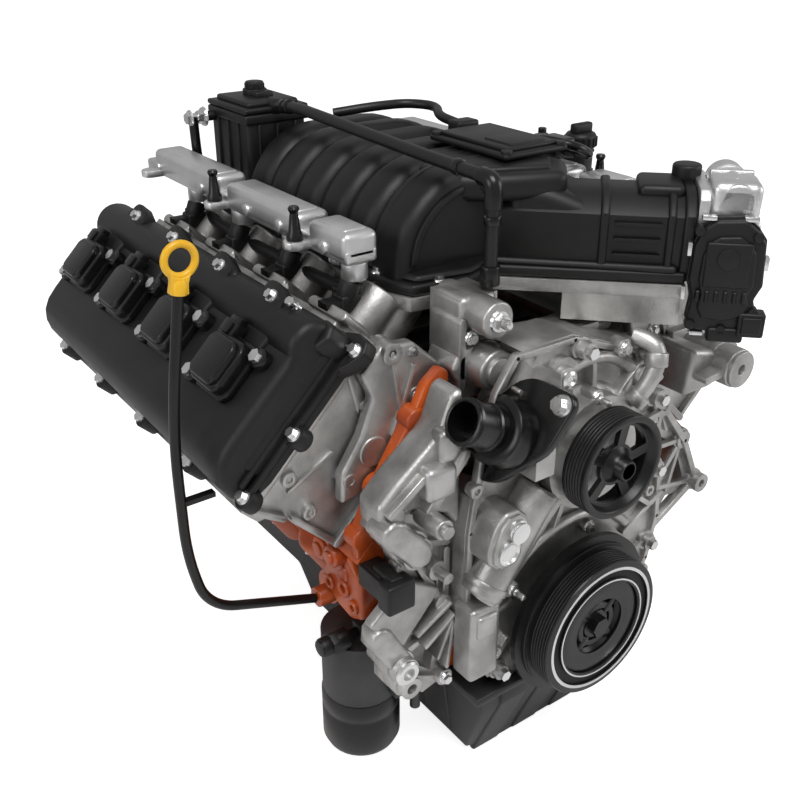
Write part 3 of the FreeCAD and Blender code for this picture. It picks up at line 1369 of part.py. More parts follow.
def oil_filler_cap():
    """A turned cap: a plug that enters the neck, a ribbed skirt and a bar to turn it by."""
    seat = "filler_seat + filler_height + 2*fit_gap"
    pieces = [cylinder("cap_radius", "cap_height - 12", ("filler_x", "filler_y", seat)),
              cylinder("filler_radius - 3.6", "12", ("filler_x", "filler_y", f"{seat} - 11"))]
    pieces.append(box(("2*cap_radius - 6", "12", "13"),
                      ("filler_x - cap_radius + 3", "filler_y - 6", f"{seat} + cap_height - 13")))
    return keep(fused(*pieces), "oil_filler_cap")


def stick_way():
    top = Vector(value("stick_top_x"), value("stick_y"), value("stick_top_z"))
    low = Vector(value("stick_low_x"), value("stick_y"), value("stick_low_z"))
    return top, low


def dipstick_tube():
    """A bent tube from the block's side boss up past the cover, held by one strap."""
    top, low = stick_way()
    y = value("stick_y")
    route = [tuple(top), tuple(low), (-383, y, 150), (-368, y, 82), (-247.3, y, 38)]
    pipe = tube_along(route, value("stick_tube"), value("stick_bore"))
    strap = Part.makeBox(30, 8, 5, Vector(-380, y - 4, 206))
    strap = strap.cut(Part.makeCylinder(3, 20, Vector(-383, y, 200)))
    return shaped(pipe.fuse(strap), "dipstick_tube")


def dipstick():
    """The blade, its stopper in the tube's mouth and the pull ring."""
    top, low = stick_way()
    way = (top - low).normalize()
    blade = Part.makeCylinder(value("stick_blade"), 62 + 14, top - way*62, way)
    seat = top + way*value("fit_gap")
    stopper = Part.makeCylinder(7.5, 13, seat, way)
    loop = Part.makeTorus(15, 3.4, seat + way*29, Vector(0, 1, 0))
    return shaped(blade.fuse(stopper).fuse(loop), "dipstick")


def rear_seal_retainer():
    """The ring that carries the rear crank seal, let in flush with the block's rear face."""
    plate = cylinder("flange_radius + seal_land", "flange_thick", ("0", "0", "0"), "-y")
    hole = cylinder("flange_radius + running_gap", "flange_thick", ("0", "0", "0"), "-y")
    return keep(without(plate, hole), "rear_seal_retainer")


def front_bolts():
    """Screws on the lands of the front cover and on the thermostat housing's two ears."""
    screws = []
    for x, z, radius, reach in COVER_BOSSES[2:]:
        screws.append(hex_screw("6.5", "7", (repr(x), f"-cover_front - {reach}", repr(z)), "-y"))
    ears = [hex_screw("7", "7", (f"{sign}*46", f"-{sign}*44", "9"), "+z") for sign in (-1, 1)]
    screws.append(placed(group(*ears), ("neck_x", "neck_y", "neck_z"), NECK_TURN))
    return keep(group(*screws), "front_bolts")


CRANK_TEETH = 23
CAM_TEETH = 46

cylinder_block()
main_bearing_caps()
crankshaft()
camshaft()
sprocket("crank_sprocket", CRANK_TEETH, "0", "nose_radius")
sprocket("cam_sprocket", CAM_TEETH, "cam_height", "cam_core")
timing_chain()
damper_hub()
damper_rubber()
damper_ring()
damper_bolt()
water_pump_pulley()
water_pump_rotor()
timing_cover()
front_seal()
oil_pump()
coolant_crossover()
thermostat_housing()
cam_solenoid()
accessory_bracket()
alternator_bracket()
compressor_bracket()
cam_sensor()
oil_pan()
pan_gasket()
pan_bolts()
drain_plug()
oil_pickup()
oil_filter()
oil_filter_adapter()
oil_pressure_sensor()
head_gaskets()
for side in SIDES:
    cylinder_head(side)
    valve_cover(side)
    ignition_coils(side)
    fuel_rail(side)
rail_posts()
cover_bolts()
spark_plugs()
intake_upper()
intake_lower()
throttle_body()
throttle_cover()
throttle_plate()
fuel_injectors()
vent_separator()
separator_cap()
vent_hose()
vacuum_hose()
pressure_sensor_module()
oil_filler_neck()
oil_filler_cap()
dipstick_tube()
dipstick()
rear_seal_retainer()
front_bolts()

doc.recompute()
for obj in doc.Objects:
    if "Invalid" in obj.State or "Error" in obj.State:
        raise ValueError(f"{obj.Name} ({obj.Label}) failed to recompute")
for obj in PARTS:
    if obj.Shape.isNull() or not obj.Shape.isValid():
        raise ValueError(f"{obj.Label} has no valid shape")
os.makedirs("parts", exist_ok=True)
for obj in PARTS:
    obj.Shape.exportStep(f"parts/{obj.Label}.step")
    size = obj.Shape.BoundBox
    print(f"{obj.Label}: {len(obj.Shape.Solids)} solids, {obj.Shape.Volume/1000:.1f} cm3, "
          f"x {size.XMin:.0f}..{size.XMax:.0f} y {size.YMin:.0f}..{size.YMax:.0f} "
          f"z {size.ZMin:.0f}..{size.ZMax:.0f}")
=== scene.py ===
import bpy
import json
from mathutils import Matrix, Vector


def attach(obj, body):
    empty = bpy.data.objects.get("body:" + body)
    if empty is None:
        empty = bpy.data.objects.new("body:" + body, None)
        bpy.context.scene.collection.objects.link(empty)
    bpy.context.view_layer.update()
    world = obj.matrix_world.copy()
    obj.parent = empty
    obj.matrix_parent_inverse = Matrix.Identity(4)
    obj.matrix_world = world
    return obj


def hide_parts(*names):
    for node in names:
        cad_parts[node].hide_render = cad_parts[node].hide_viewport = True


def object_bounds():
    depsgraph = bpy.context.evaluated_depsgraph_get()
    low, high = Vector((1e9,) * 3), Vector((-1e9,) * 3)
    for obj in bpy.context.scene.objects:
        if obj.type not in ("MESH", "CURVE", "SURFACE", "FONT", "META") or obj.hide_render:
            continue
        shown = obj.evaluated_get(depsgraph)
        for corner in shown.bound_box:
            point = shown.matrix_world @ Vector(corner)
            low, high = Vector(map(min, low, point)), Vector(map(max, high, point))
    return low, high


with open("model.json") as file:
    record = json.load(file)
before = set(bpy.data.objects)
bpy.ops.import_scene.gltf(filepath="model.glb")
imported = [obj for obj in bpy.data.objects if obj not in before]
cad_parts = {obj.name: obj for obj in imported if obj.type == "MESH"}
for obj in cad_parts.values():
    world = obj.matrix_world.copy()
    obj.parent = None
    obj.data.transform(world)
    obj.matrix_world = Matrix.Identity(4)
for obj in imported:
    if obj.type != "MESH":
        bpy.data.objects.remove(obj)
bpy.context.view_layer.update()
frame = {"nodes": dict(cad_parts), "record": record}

# %% [markdown]
# A V8 engine is a heap of castings, mouldings and turned parts. The frame already holds every piece
# in its place, so this lesson adds what a camera sees: rounded cast edges, ribs, clips, screws and
# finishes. First come the few tools that every later step uses.

# %% Tools for picking, rounding and placing
import json
import math

import bpy
from mathutils import Matrix, Vector

nodes = frame["nodes"]
Q = math.sqrt(0.5)
MM = 0.001


def clear_selection():
    """Leaves edit mode and picks nothing, so the next operator acts on its own piece only."""
    if bpy.context.object and bpy.context.object.mode != "OBJECT":
        bpy.ops.object.mode_set(mode="OBJECT")
    bpy.ops.object.select_all(action="DESELECT")


def pick(obj):
    """Makes one object the only one picked, and the active one."""
    clear_selection()
    obj.select_set(True)
    bpy.context.view_layer.objects.active = obj
    return obj


def finish_with(obj, kind, **settings):
    """Adds one modifier, sets it and applies it at once."""
    pick(obj)
    step = obj.modifiers.new(kind.title(), kind)
    for name, value in settings.items():
        setattr(step, name, value)
    bpy.ops.object.modifier_apply(modifier=step.name)
    return obj


def smooth(obj, angle=35):
    """Shades the piece smooth, apart from edges sharper than the angle."""
    pick(obj)
    bpy.ops.object.shade_smooth_by_angle(angle=math.radians(angle))
    return obj


def rounded(obj, width, segments=2, angle=28):
    """Breaks every edge sharper than the angle with a small round, width in millimetres."""
    finish_with(obj, "BEVEL", width=width*MM, segments=segments, limit_method="ANGLE",
                angle_limit=math.radians(angle), use_clamp_overlap=True, miter_outer="MITER_ARC")
    return smooth(obj)


def tidy_faces(obj):
    """Merges doubles, melts flat triangles into whole faces and turns all faces outwards."""
    pick(obj)
    bpy.ops.object.mode_set(mode="EDIT")
    bpy.ops.mesh.select_all(action="SELECT")
    bpy.ops.mesh.remove_doubles(threshold=1e-5)
    bpy.ops.mesh.dissolve_limited(angle_limit=math.radians(1.0))
    bpy.ops.mesh.normals_make_consistent(inside=False)
    bpy.ops.object.mode_set(mode="OBJECT")
    return obj


def copy_of(obj, name):
    """A second object with a mesh of its own."""
    pick(obj)
    bpy.ops.object.duplicate()
    twin = bpy.context.object
    twin.parent = None
    twin.name = name
    return twin


def moved(obj, matrix):
    """Puts the place into the mesh, so that the object itself stays at the origin."""
    obj.data.transform(matrix)
    if matrix.determinant() < 0:
        pick(obj)
        bpy.ops.object.mode_set(mode="EDIT")
        bpy.ops.mesh.select_all(action="SELECT")
        bpy.ops.mesh.flip_normals()
        bpy.ops.object.mode_set(mode="OBJECT")
    return obj


def joined(name, *parts):
    """One named piece out of several."""
    clear_selection()
    for part in parts:
        part.select_set(True)
    bpy.context.view_layer.objects.active = parts[0]
    if len(parts) > 1:
        bpy.ops.object.join()
    parts[0].name = name
    return parts[0]


# %% [markdown]
# Nearly every piece starts from one of four forms: a plate cut to an outline, a turned form, a
# round bar and a bent pipe. The first two begin as a plain circle that is shaped in edit mode, the
# bar is a cone and the pipe a curve. All are drawn in millimetres. A pipe is drawn where it stands,
# and one matrix lays each of the others from a local frame into the engine.

# %% Forms: plate, turned, bar and pipe
ENGINE = Matrix.Identity(4)
SIDES = ("right", "left")
# for each bank: its side of the engine's middle plane, and the y of its own middle
BANK_MIDDLES = ((-1, -245), (1, -268))
BANK = {side: Matrix(((-sign*Q, 0, sign*Q, 0), (0, -sign, 0, middle*MM), (Q, 0, Q, 0), (0, 0, 0, 1)))
        for side, (sign, middle) in zip(SIDES, BANK_MIDDLES)}
INLET = Matrix(((Q, Q, 0, 0), (-Q, Q, 0, 0), (0, 0, 1, 0), (0, 0, 0, 1)))
BORE_STEP = 113.3
BORES = [step*BORE_STEP for step in (-1.5, -0.5, 0.5, 1.5)]
PUMP_Z = 201.6
UP = (0, 0, 1)
FORWARD = (0, -1, 0)
PLANES = {
    "xy": Matrix.Identity(4),
    "xz": Matrix(((1, 0, 0, 0), (0, 0, 1, 0), (0, 1, 0, 0), (0, 0, 0, 1))),
    "yz": Matrix(((0, 0, 1, 0), (1, 0, 0, 0), (0, 1, 0, 0), (0, 0, 0, 1))),
}


def plate(outline, low, high, plane="xy", place=ENGINE):
    """A flat plate: corners in the plane, then its lower and upper level square to it."""
    clear_selection()
    bpy.ops.mesh.primitive_circle_add(vertices=len(outline), fill_type="NGON")
    obj = bpy.context.object
    for corner, (u, v) in zip(obj.data.vertices, outline):
        corner.co = (u*MM, v*MM, low*MM)
    bpy.ops.object.mode_set(mode="EDIT")
    bpy.ops.mesh.select_all(action="SELECT")
    bpy.ops.mesh.extrude_region_move(TRANSFORM_OT_translate={"value": (0, 0, (high - low)*MM)})
    bpy.ops.mesh.select_all(action="SELECT")
    bpy.ops.mesh.normals_make_consistent(inside=False)
    bpy.ops.object.mode_set(mode="OBJECT")
    return moved(obj, place @ PLANES[plane])


def block(low, high, place=ENGINE):
    """A rectangular block between two corners."""
    (a, b, c), (d, e, f) = low, high
    return plate([(a, b), (d, b), (d, e), (a, e)], c, f, "xy", place)


def aimed(start, end):
    """The matrix that lays a local Z axis from one point to another."""
    way = Vector(end) - Vector(start)
    turn = way.to_track_quat("Z", "Y").to_matrix().to_4x4()
    return Matrix.Translation(Vector(start)*MM) @ turn, way.length


def bar(start, end, radius, place=ENGINE, sides=32, tip=None):
    """A round bar from point to point; with a tip radius it is a cone."""
    matrix, length = aimed(start, end)
    clear_selection()
    bpy.ops.mesh.primitive_cone_add(vertices=sides, radius1=radius*MM,
                                    radius2=(radius if tip is None else tip)*MM, depth=length*MM,
                                    location=(0, 0, length*MM/2))
    obj = bpy.context.object
    bpy.ops.object.transform_apply(location=True, rotation=True, scale=True)
    return moved(obj, place @ matrix)


def turned(profile, start, end, place=ENGINE, steps=48):
    """A turned form: its closed profile is radius and distance along the axis."""
    matrix, _ = aimed(start, end)
    clear_selection()
    bpy.ops.mesh.primitive_circle_add(vertices=len(profile), fill_type="NOTHING")
    obj = bpy.context.object
    for corner, (radius, along) in zip(obj.data.vertices, profile):
        corner.co = (radius*MM, 0, along*MM)
    bpy.ops.object.mode_set(mode="EDIT")
    bpy.ops.mesh.select_all(action="SELECT")
    bpy.ops.mesh.spin(steps=steps, angle=2*math.pi, center=(0, 0, 0), axis=(0, 0, 1))
    bpy.ops.mesh.select_all(action="SELECT")
    bpy.ops.mesh.remove_doubles(threshold=2e-6)
    bpy.ops.mesh.normals_make_consistent(inside=False)
    bpy.ops.object.mode_set(mode="OBJECT")
    return moved(obj, place @ matrix)


def pipe(points, radius):
    """A round pipe on a smooth line between its end points, pulled toward those between."""
    line = bpy.data.curves.new("pipe", "CURVE")
    line.dimensions = "3D"
    line.bevel_depth = radius*MM
    line.bevel_resolution = 5
    line.use_fill_caps = True
    run = line.splines.new("NURBS")
    run.points.add(len(points) - 1)
    for spot, point in zip(run.points, points):
        spot.co = (*(Vector(point)*MM), 1)
    run.use_endpoint_u = True
    run.order_u = 3
    line.resolution_u = 8
    obj = bpy.data.objects.new("pipe", line)
    bpy.context.scene.collection.objects.link(obj)
    pick(obj)
    bpy.ops.object.convert(target="MESH")
    return bpy.context.object


def cut(obj, tool):
    """Takes the tool out of the piece."""
    finish_with(obj, "BOOLEAN", object=tool, operation="DIFFERENCE", solver="EXACT")
    bpy.data.objects.remove(tool)
    return obj


def screw(at, way, radius=6.5, height=6.0, place=ENGINE):
    """A flanged hexagon screw head: a thin washer face under a chamfered hexagon."""
    way = Vector(way).normalized()
    at = Vector(at)
    washer = bar(at, at + way*height*0.3, radius*1.35, place, 24, radius*1.2)
    head = bar(at + way*height*0.25, at + way*height, radius, place, 6, radius*0.9)
    return joined("screw", washer, head)


def rib(start, end, width, low, high, plane="xy", place=ENGINE, ends=5):
    """A straight web with round ends, drawn between two points of a plane."""
    (u0, v0), (u1, v1) = start, end
    heading = math.atan2(v1 - v0, u1 - u0)
    edge = []
    for (u, v), turn in (((u1, v1), -math.pi/2), ((u0, v0), math.pi/2)):
        for step in range(ends):
            angle = heading + turn + math.pi*step/(ends - 1)
            edge.append((u + width/2*math.cos(angle), v + width/2*math.sin(angle)))
    return plate(edge, low, high, plane, place)


def ring_edge(centre, radius, start=0, stop=360, steps=12):
    """Points along an arc, in degrees."""
    return [(centre[0] + radius*math.cos(math.radians(start + (stop - start)*k/steps)),
             centre[1] + radius*math.sin(math.radians(start + (stop - start)*k/steps)))
            for k in range(steps + (stop - start < 360))]


def rounded_box(low, high, width, place=ENGINE, segments=3):
    """A block with soft edges."""
    return rounded(block(low, high, place), width, segments, 40)


def hull(spots):
    """The corners of the smallest outline round several circles."""
    dots = [(x + r*math.cos(math.radians(a)), y + r*math.sin(math.radians(a)))
            for x, y, r in spots for a in range(0, 360, 10)]
    dots = sorted(dots)
    ends = []
    for run in (dots, dots[::-1]):
        chain = []
        for dot in run:
            while len(chain) > 1 and ((chain[-1][0] - chain[-2][0])*(dot[1] - chain[-2][1])
                                      <= (chain[-1][1] - chain[-2][1])*(dot[0] - chain[-2][0])):
                chain.pop()
            chain.append(dot)
        ends += chain[:-1]
    return ends


def front_bar(x, z, radius, front, rear, width, segments=3, sides=40):
    """A soft-edged bar that points straight forward."""
    return rounded(bar((x, front, z), (x, rear, z), radius, ENGINE, sides), width, segments)


print("forms ready")

# %% [markdown]
# Finishes are worked out from noise on the piece's own coordinates, so that they hold from every
# side. A small class turns sockets into things that can be added and multiplied, which keeps the
# shader's sums readable.

# %% Shader sums
class Sum:
    """One socket, with the usual operators adding Math nodes behind it."""

    def __init__(self, tree, socket):
        self.tree = tree
        self.socket = socket

    def _math(self, kind, other):
        node = self.tree.nodes.new("ShaderNodeMath")
        node.operation = kind
        for slot, item in zip(node.inputs, (self, other)):
            if isinstance(item, Sum):
                self.tree.links.new(item.socket, slot)
            else:
                slot.default_value = item
        return Sum(self.tree, node.outputs[0])

    def __add__(self, other):
        return self._math("ADD", other)

    def __sub__(self, other):
        return self._math("SUBTRACT", other)

    def __mul__(self, other):
        return self._math("MULTIPLY", other)

    def clip(self):
        """Keeps the value between 0 and 1."""
        return self._math("MINIMUM", 1.0)._math("MAXIMUM", 0.0)


class Finish:
    """A material and the one way that nodes are added to it."""

    def __init__(self, name):
        self.material = bpy.data.materials.new(name)
        self.material.use_nodes = True
        self.tree = self.material.node_tree
        self.shader = self.tree.nodes["Principled BSDF"]

    def node(self, kind, output=0, settings=None, **values):
        """Adds a node, sets it, feeds its inputs and gives back one of its outputs."""
        made = self.tree.nodes.new(kind)
        for key, value in (settings or {}).items():
            setattr(made, key, value)
        for key, value in values.items():
            self.feed(made.inputs[key.replace("_", " ")], value)
        return Sum(self.tree, made.outputs[output])

    def feed(self, socket, value):
        """Links a sum to a socket, or writes a plain value into it."""
        if isinstance(value, Sum):
            self.tree.links.new(value.socket, socket)
        else:
            socket.default_value = value

    def noise(self, scale, detail=3.0, rough=0.55):
        place = self.node("ShaderNodeTexCoord", "Object")
        return self.node("ShaderNodeTexNoise", 0, None, Vector=place, Scale=scale, Detail=detail,
                         Roughness=rough)

    def blend(self, factor, low, high):
        mixed = self.node("ShaderNodeMix", 2, {"data_type": "RGBA"})
        made = mixed.socket.node
        self.feed(made.inputs[0], factor)
        self.feed(made.inputs[6], low)
        self.feed(made.inputs[7], high)
        return mixed

    def bump(self, height, strength, distance):
        return self.node("ShaderNodeBump", 0, None, Height=height, Strength=strength, Distance=distance)


def colour(red, green=None, blue=None):
    """An opaque colour; with one value it is a grey."""
    return (red, red if green is None else green, red if blue is None else blue, 1.0)


def finish(name, low, high, rough, metal=0.0, spread=0.08, grain=900.0, depth=0.25, coat=0.0,
           patch=14.0, specular=0.5):
    """A finish that drifts between two colours, with a fine grain on its surface."""
    made = Finish(name)
    cloud = made.noise(patch, 4.0)
    fine = made.noise(grain, 2.0)
    made.feed(made.shader.inputs["Base Color"], made.blend(((cloud - 0.35)*3.0).clip(), low, high))
    made.feed(made.shader.inputs["Roughness"], (cloud - 0.5)*spread*2.0 + rough)
    made.shader.inputs["Metallic"].default_value = metal
    made.shader.inputs["Specular IOR Level"].default_value = specular
    made.shader.inputs["Coat Weight"].default_value = coat
    made.feed(made.shader.inputs["Normal"], made.bump(fine, depth, 0.0004))
    return made.material


# %% [markdown]
# Orange paint on the block, bare aluminium in front and black mouldings on top carry the look. The
# blacks are kept very dark and lie close together, so it's mostly their roughness that sets them
# apart.

# %% The finishes of this engine
finishes = {
    "orange_paint": finish("orange engine paint", colour(0.27, 0.036, 0.004), colour(0.50, 0.085, 0.008),
                           0.36, 0.0, 0.06, 380.0, 0.55, 0.15, 22.0),
    "raw_iron": finish("raw cast iron", colour(0.07, 0.066, 0.062), colour(0.12, 0.112, 0.105), 0.62, 0.6),
    "forged_steel": finish("forged steel", colour(0.20), colour(0.30), 0.42, 0.9),
    "bright_steel": finish("zinc plated steel", colour(0.62), colour(0.78), 0.26, 0.97, 0.06),
    "cast_aluminium": finish("sand cast aluminium", colour(0.33, 0.325, 0.318), colour(0.54, 0.532, 0.52),
                             0.42, 0.90, 0.08, 420.0, 0.7, 0.0, 26.0),
    "pale_aluminium": finish("bright cast aluminium", colour(0.60), colour(0.76), 0.36, 0.9, 0.05,
                             600.0, 0.4),
    "grey_casting": finish("dark cast aluminium", colour(0.045, 0.045, 0.047), colour(0.08, 0.08, 0.083),
                           0.5, 0.6, 0.08, 500.0, 0.5),
    "black_moulding": finish("black glass filled nylon", colour(0.0035), colour(0.0075), 0.46, 0.0, 0.07,
                             1100.0, 0.35, 0.0, 14.0, 0.36),
    "black_gloss": finish("glossy black moulding", colour(0.003), colour(0.006), 0.27, 0.0, 0.05,
                          700.0, 0.12, 0.0, 14.0, 0.4),
    "black_paint": finish("black baked paint", colour(0.0045), colour(0.008), 0.32, 0.1, 0.06, 600.0, 0.2,
                          0.0, 14.0, 0.4),
    "grey_paint": finish("dark grey pan paint", colour(0.020, 0.020, 0.021), colour(0.034, 0.034, 0.036),
                         0.44, 0.3, 0.08, 500.0, 0.4),
    "black_rubber": finish("black rubber", colour(0.006), colour(0.010), 0.62, 0.0, 0.05, 900.0, 0.3,
                           0.0, 14.0, 0.35),
    "hose_rubber": finish("hose rubber", colour(0.004), colour(0.008), 0.42, 0.0, 0.05, 700.0, 0.25,
                          0.0, 14.0, 0.4),
    "gasket_steel": finish("gasket steel", colour(0.12), colour(0.20), 0.5, 0.8),
    "yellow_plastic": finish("yellow moulding", colour(0.70, 0.37, 0.008), colour(0.80, 0.46, 0.015), 0.36,
                             0.0, 0.04, 700.0, 0.15),
    "ceramic_steel": finish("plug steel", colour(0.5), colour(0.62), 0.35, 0.8),
}


def dress(obj, slot):
    """Gives a piece the one finish that is listed under the slot's name."""
    obj.data.materials.clear()
    obj.data.materials.append(finishes[slot])
    return obj


slot_of = {part["node"]: part["material_slot"] for part in frame["record"]["subparts"]}
body_of = {name: body for body, names in frame["record"]["behaviour"]["bodies"].items() for name in names}
for name, obj in nodes.items():
    dress(obj, slot_of[name])
print(len(finishes), "finishes on", len(nodes), "nodes")


def stands_for(obj, node, slot=None):
    """The piece takes the node's place, its body and its finish."""
    if not obj.data.materials or slot:
        dress(obj, slot or slot_of[node])
    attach(obj, body_of[node])
    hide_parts(node)
    return obj


def goes_with(obj, node, slot):
    """An extra piece that rides on a node's body."""
    dress(obj, slot)
    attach(obj, body_of[node])
    return obj


# %% [markdown]
# A foundry can't cast a knife edge, and neither can a moulding tool. The quickest honest way to
# show that is to copy a casting from the frame, melt its triangles into whole faces and round
# every sharp edge. The copy then stands for the frame's own node.

# %% Rounded castings and mouldings
ROUNDS = {
    "cylinder_block": 3.0, "timing_cover": 2.4, "coolant_crossover": 2.4, "accessory_bracket": 1.6,
    "alternator_bracket": 2.0, "compressor_bracket": 1.8, "oil_pan": 3.0, "oil_filter_adapter": 2.5,
    "cylinder_head_right": 2.2, "cylinder_head_left": 2.2, "intake_lower": 1.6, "cam_sensor": 1.2,
    "oil_pressure_sensor": 1.0, "fuel_injectors": 0.9,
}
soft = {}
for name, width in ROUNDS.items():
    piece = tidy_faces(copy_of(nodes[name], f"soft_{name}"))
    soft[name] = stands_for(rounded(piece, width), name)
print(len(soft), "castings rounded")

# %% [markdown]
# The moulded rocker covers come first. A cover is one profile drawn across the bank and pulled
# along it, with a scalloped rail of screw ears below and a tube-like ridge on its inner side.

# %% Rocker covers
def rail_outline(grow=0.0):
    """The cover's scalloped rail: screw ears on the outboard side, a straight inboard side."""
    edge = [(92 + grow, 243 + grow), (-40, 243 + grow)]
    for step in (1.5, 0.5, -0.5, -1.5):
        y = step*BORE_STEP + 20
        edge += [(-86 - grow, min(y + 34, 238)), (-86 - grow, y + 18)]
        edge += ring_edge((-92, y), 11 + grow, 60, 300, 8)
        edge += [(-86 - grow, y - 18)]
    return edge + [(-86 - grow, -236 - grow), (-60, -243 - grow), (92 + grow, -243 - grow)]


def cover_crown():
    """The cover's cross profile, from the outboard foot over the coil deck and the ridge."""
    wall = [(-91, 388), (-92, 404), (-89, 416), (-83, 427), (-73, 436), (-60, 441), (-44, 442.2)]
    ridge = ring_edge((62, 425), 26, 140, 5, 12)
    return wall + [(34, 442.2)] + ridge + [(88, 410), (88, 388)]


PAD_ROWS = (-165, -60, 50, 150)


def cover_shell(side):
    """A cover's rail, lip and crown, with its screw ears, pads and front horn."""
    place = BANK[side]
    rail = rounded(plate(rail_outline(), 384.2, 393.5, "xy", place), 1.8, 2)
    lip = rounded(plate(rail_outline(-3.5), 393, 397, "xy", place), 1.6, 2)
    crown = rounded(plate(cover_crown(), -236, 236, "xz", place), 11, 4, 60)
    parts = [rail, lip, crown]
    for y in [bore + 20 for bore in BORES]:
        parts.append(rounded(bar((-92, y, 384), (-92, y, 404.5), 11.5, place, 24), 1.2))
        parts.append(rounded(rib((-80, y), (-66, y), 18, 390, 421, "xy", place), 4, 3))
    for y in PAD_ROWS:
        parts.append(rounded(rib((78, y - 12), (86, y + 12), 19, 430, 449, "xy", place), 3, 2))
    for y in (-170, -57, 57, 170):
        parts.append(rounded(plate([(22, y - 22), (84, y - 30), (88, y + 12), (30, y + 30)], 430, 446,
                                   "xy", place), 5, 3))
    for sign in (-1, 1):
        for height, reach in ((398, 246), (407, 241)):
            level = sorted((sign*228, sign*reach))
            parts.append(rounded(rib((-76, height), (80, height), 5, *level, "xz", place), 1.8, 2))
        slope = [(sign*222, 392), (sign*241, 392), (sign*238, 414), (sign*226, 432)]
        parts.append(rounded(plate(slope, -62, 74, "yz", place), 3, 3))
    for l, y in ((-12, -247), (-84, -240)):
        parts.append(rounded(bar((l, y, 384.3), (l, y, 399.5), 11, place, 24), 1.2))
    ear = [(58, -222), (52, -240), (66, -254), (82, -262), (94, -257), (97, -240), (92, -222)]
    parts.append(rounded(plate(ear, 384.3, 400, "xy", place), 2.4, 3))
    horn = [(56, -222), (60, -238), (74, -246), (88, -240), (90, -222)]
    parts.append(rounded(plate(horn, 398, 430, "xy", place), 5, 4))
    return parts


for side in SIDES:
    parts = cover_shell(side)
    if side == "left":
        parts.append(bar((62, 13, 424), (109, 13, 471), 19, BANK["left"], 32))
    stands_for(joined(f"cover_{side}", *parts), f"valve_cover_{side}")
flange_screws = [screw((l, y, 399.3), UP, 5.6, 7, BANK["right"])
                 for l, y in ((81, -250), (-12, -247), (-84, -240))]
goes_with(joined("cover_screws_right", *flange_screws), "valve_cover_right", "bright_steel")
for side in SIDES:
    pads = [screw((80, y, 448.6), UP, 5.4, 6.5, BANK[side]) for y in PAD_ROWS]
    if side == "right":
        stud = [(0, 0), (4, 0), (4, 4), (2.2, 5), (2.2, 9), (4.2, 10.5), (4.8, 13), (3.8, 15.4), (0, 16.4)]
        pads.append(turned(stud, (84, -196, 438), (84, -196, 456), BANK[side], 24))
    goes_with(joined(f"pad_screws_{side}", *pads), f"valve_cover_{side}", "bright_steel")
print("covers ready")

# %% [markdown]
# Each coil is a stepped cap over its plug: a wide base with two screw ears, two smaller steps with
# soft corners on it and a plug socket at the inboard corner.

# %% Ignition coils
def coil_cap(y, place):
    """The forms of one coil, y along its bank."""
    corners = [(-27, y - 22), (-18, y - 30), (24, y - 30), (33, y - 22), (33, y + 22), (24, y + 30),
               (-18, y + 30), (-27, y + 22)]
    inner = [(3 + (l - 3)*0.88, y + (v - y)*0.88) for l, v in corners]
    top = [(3 + (l - 3)*0.76, y + (v - y)*0.76) for l, v in corners]
    pieces = [rounded(plate(corners, 442.4, 450, "xy", place), 1.8, 2),
              rounded(plate(inner, 446, 462, "xy", place), 3, 3),
              rounded(plate(top, 458, 469, "xy", place), 3.4, 4)]
    for sign in (-1, 1):
        at = (3 + sign*23, y - sign*37.6)
        pieces.append(rounded(bar((*at, 442.4), (*at, 452), 9.5, place, 24), 1.2))
        pieces.append(rounded(rib(at, (3 + sign*16, y - sign*18), 14, 442.4, 451, "xy", place), 1.6))
    pieces.append(rounded(block((24, y + 4, 448), (42, y + 28, 461), place), 2, 2))
    pieces.append(rounded(block((38, y + 7, 449), (47, y + 25, 459), place), 1.2, 2))
    pieces.append(rounded(block((28, y + 9, 459), (40, y + 23, 464), place), 1, 2))
    pieces.append(bar((3, y, 400), (3, y, 446), 11.5, place, 24))
    return pieces


for side in SIDES:
    caps = []
    for y in BORES:
        caps += coil_cap(y, BANK[side])
    stands_for(joined(f"coils_{side}", *caps), f"ignition_coils_{side}")
print(len(BORES), "coils on each side")

# %% [markdown]
# The intake's shell is a row of rounded lobes laid over a smaller vault, so that grooves run
# between the runners. A flange with a soft skirt closes its foot, and the inlet leaves it to the
# front left as a rounded box with two arch ribs and an end flange.

# %% Intake shell
def vault_edge(radius, floor):
    """The arch across the runners: two feet, two quarter rounds and a flat crown."""
    edge = [(38 + radius, floor)]
    edge += ring_edge((38, 372), radius, 0, 90, 9)
    edge += ring_edge((-38, 372), radius, 90, 180, 9)
    return edge + [(-38 - radius, floor)]


def lobe(front, rear, radius, width):
    """One rounded runner across the shell."""
    return rounded(plate(vault_edge(radius, 342), front, rear, "xz"), width, 5, 50)


def inlet_spot(ahead):
    """A point on the inlet's axis."""
    return (ahead, -270, 396)


def bored(piece):
    """Takes the throttle's bore out of a piece of the inlet, where the open plate swings back."""
    return cut(piece, bar(inlet_spot(380), inlet_spot(505), 40, INLET, 72))


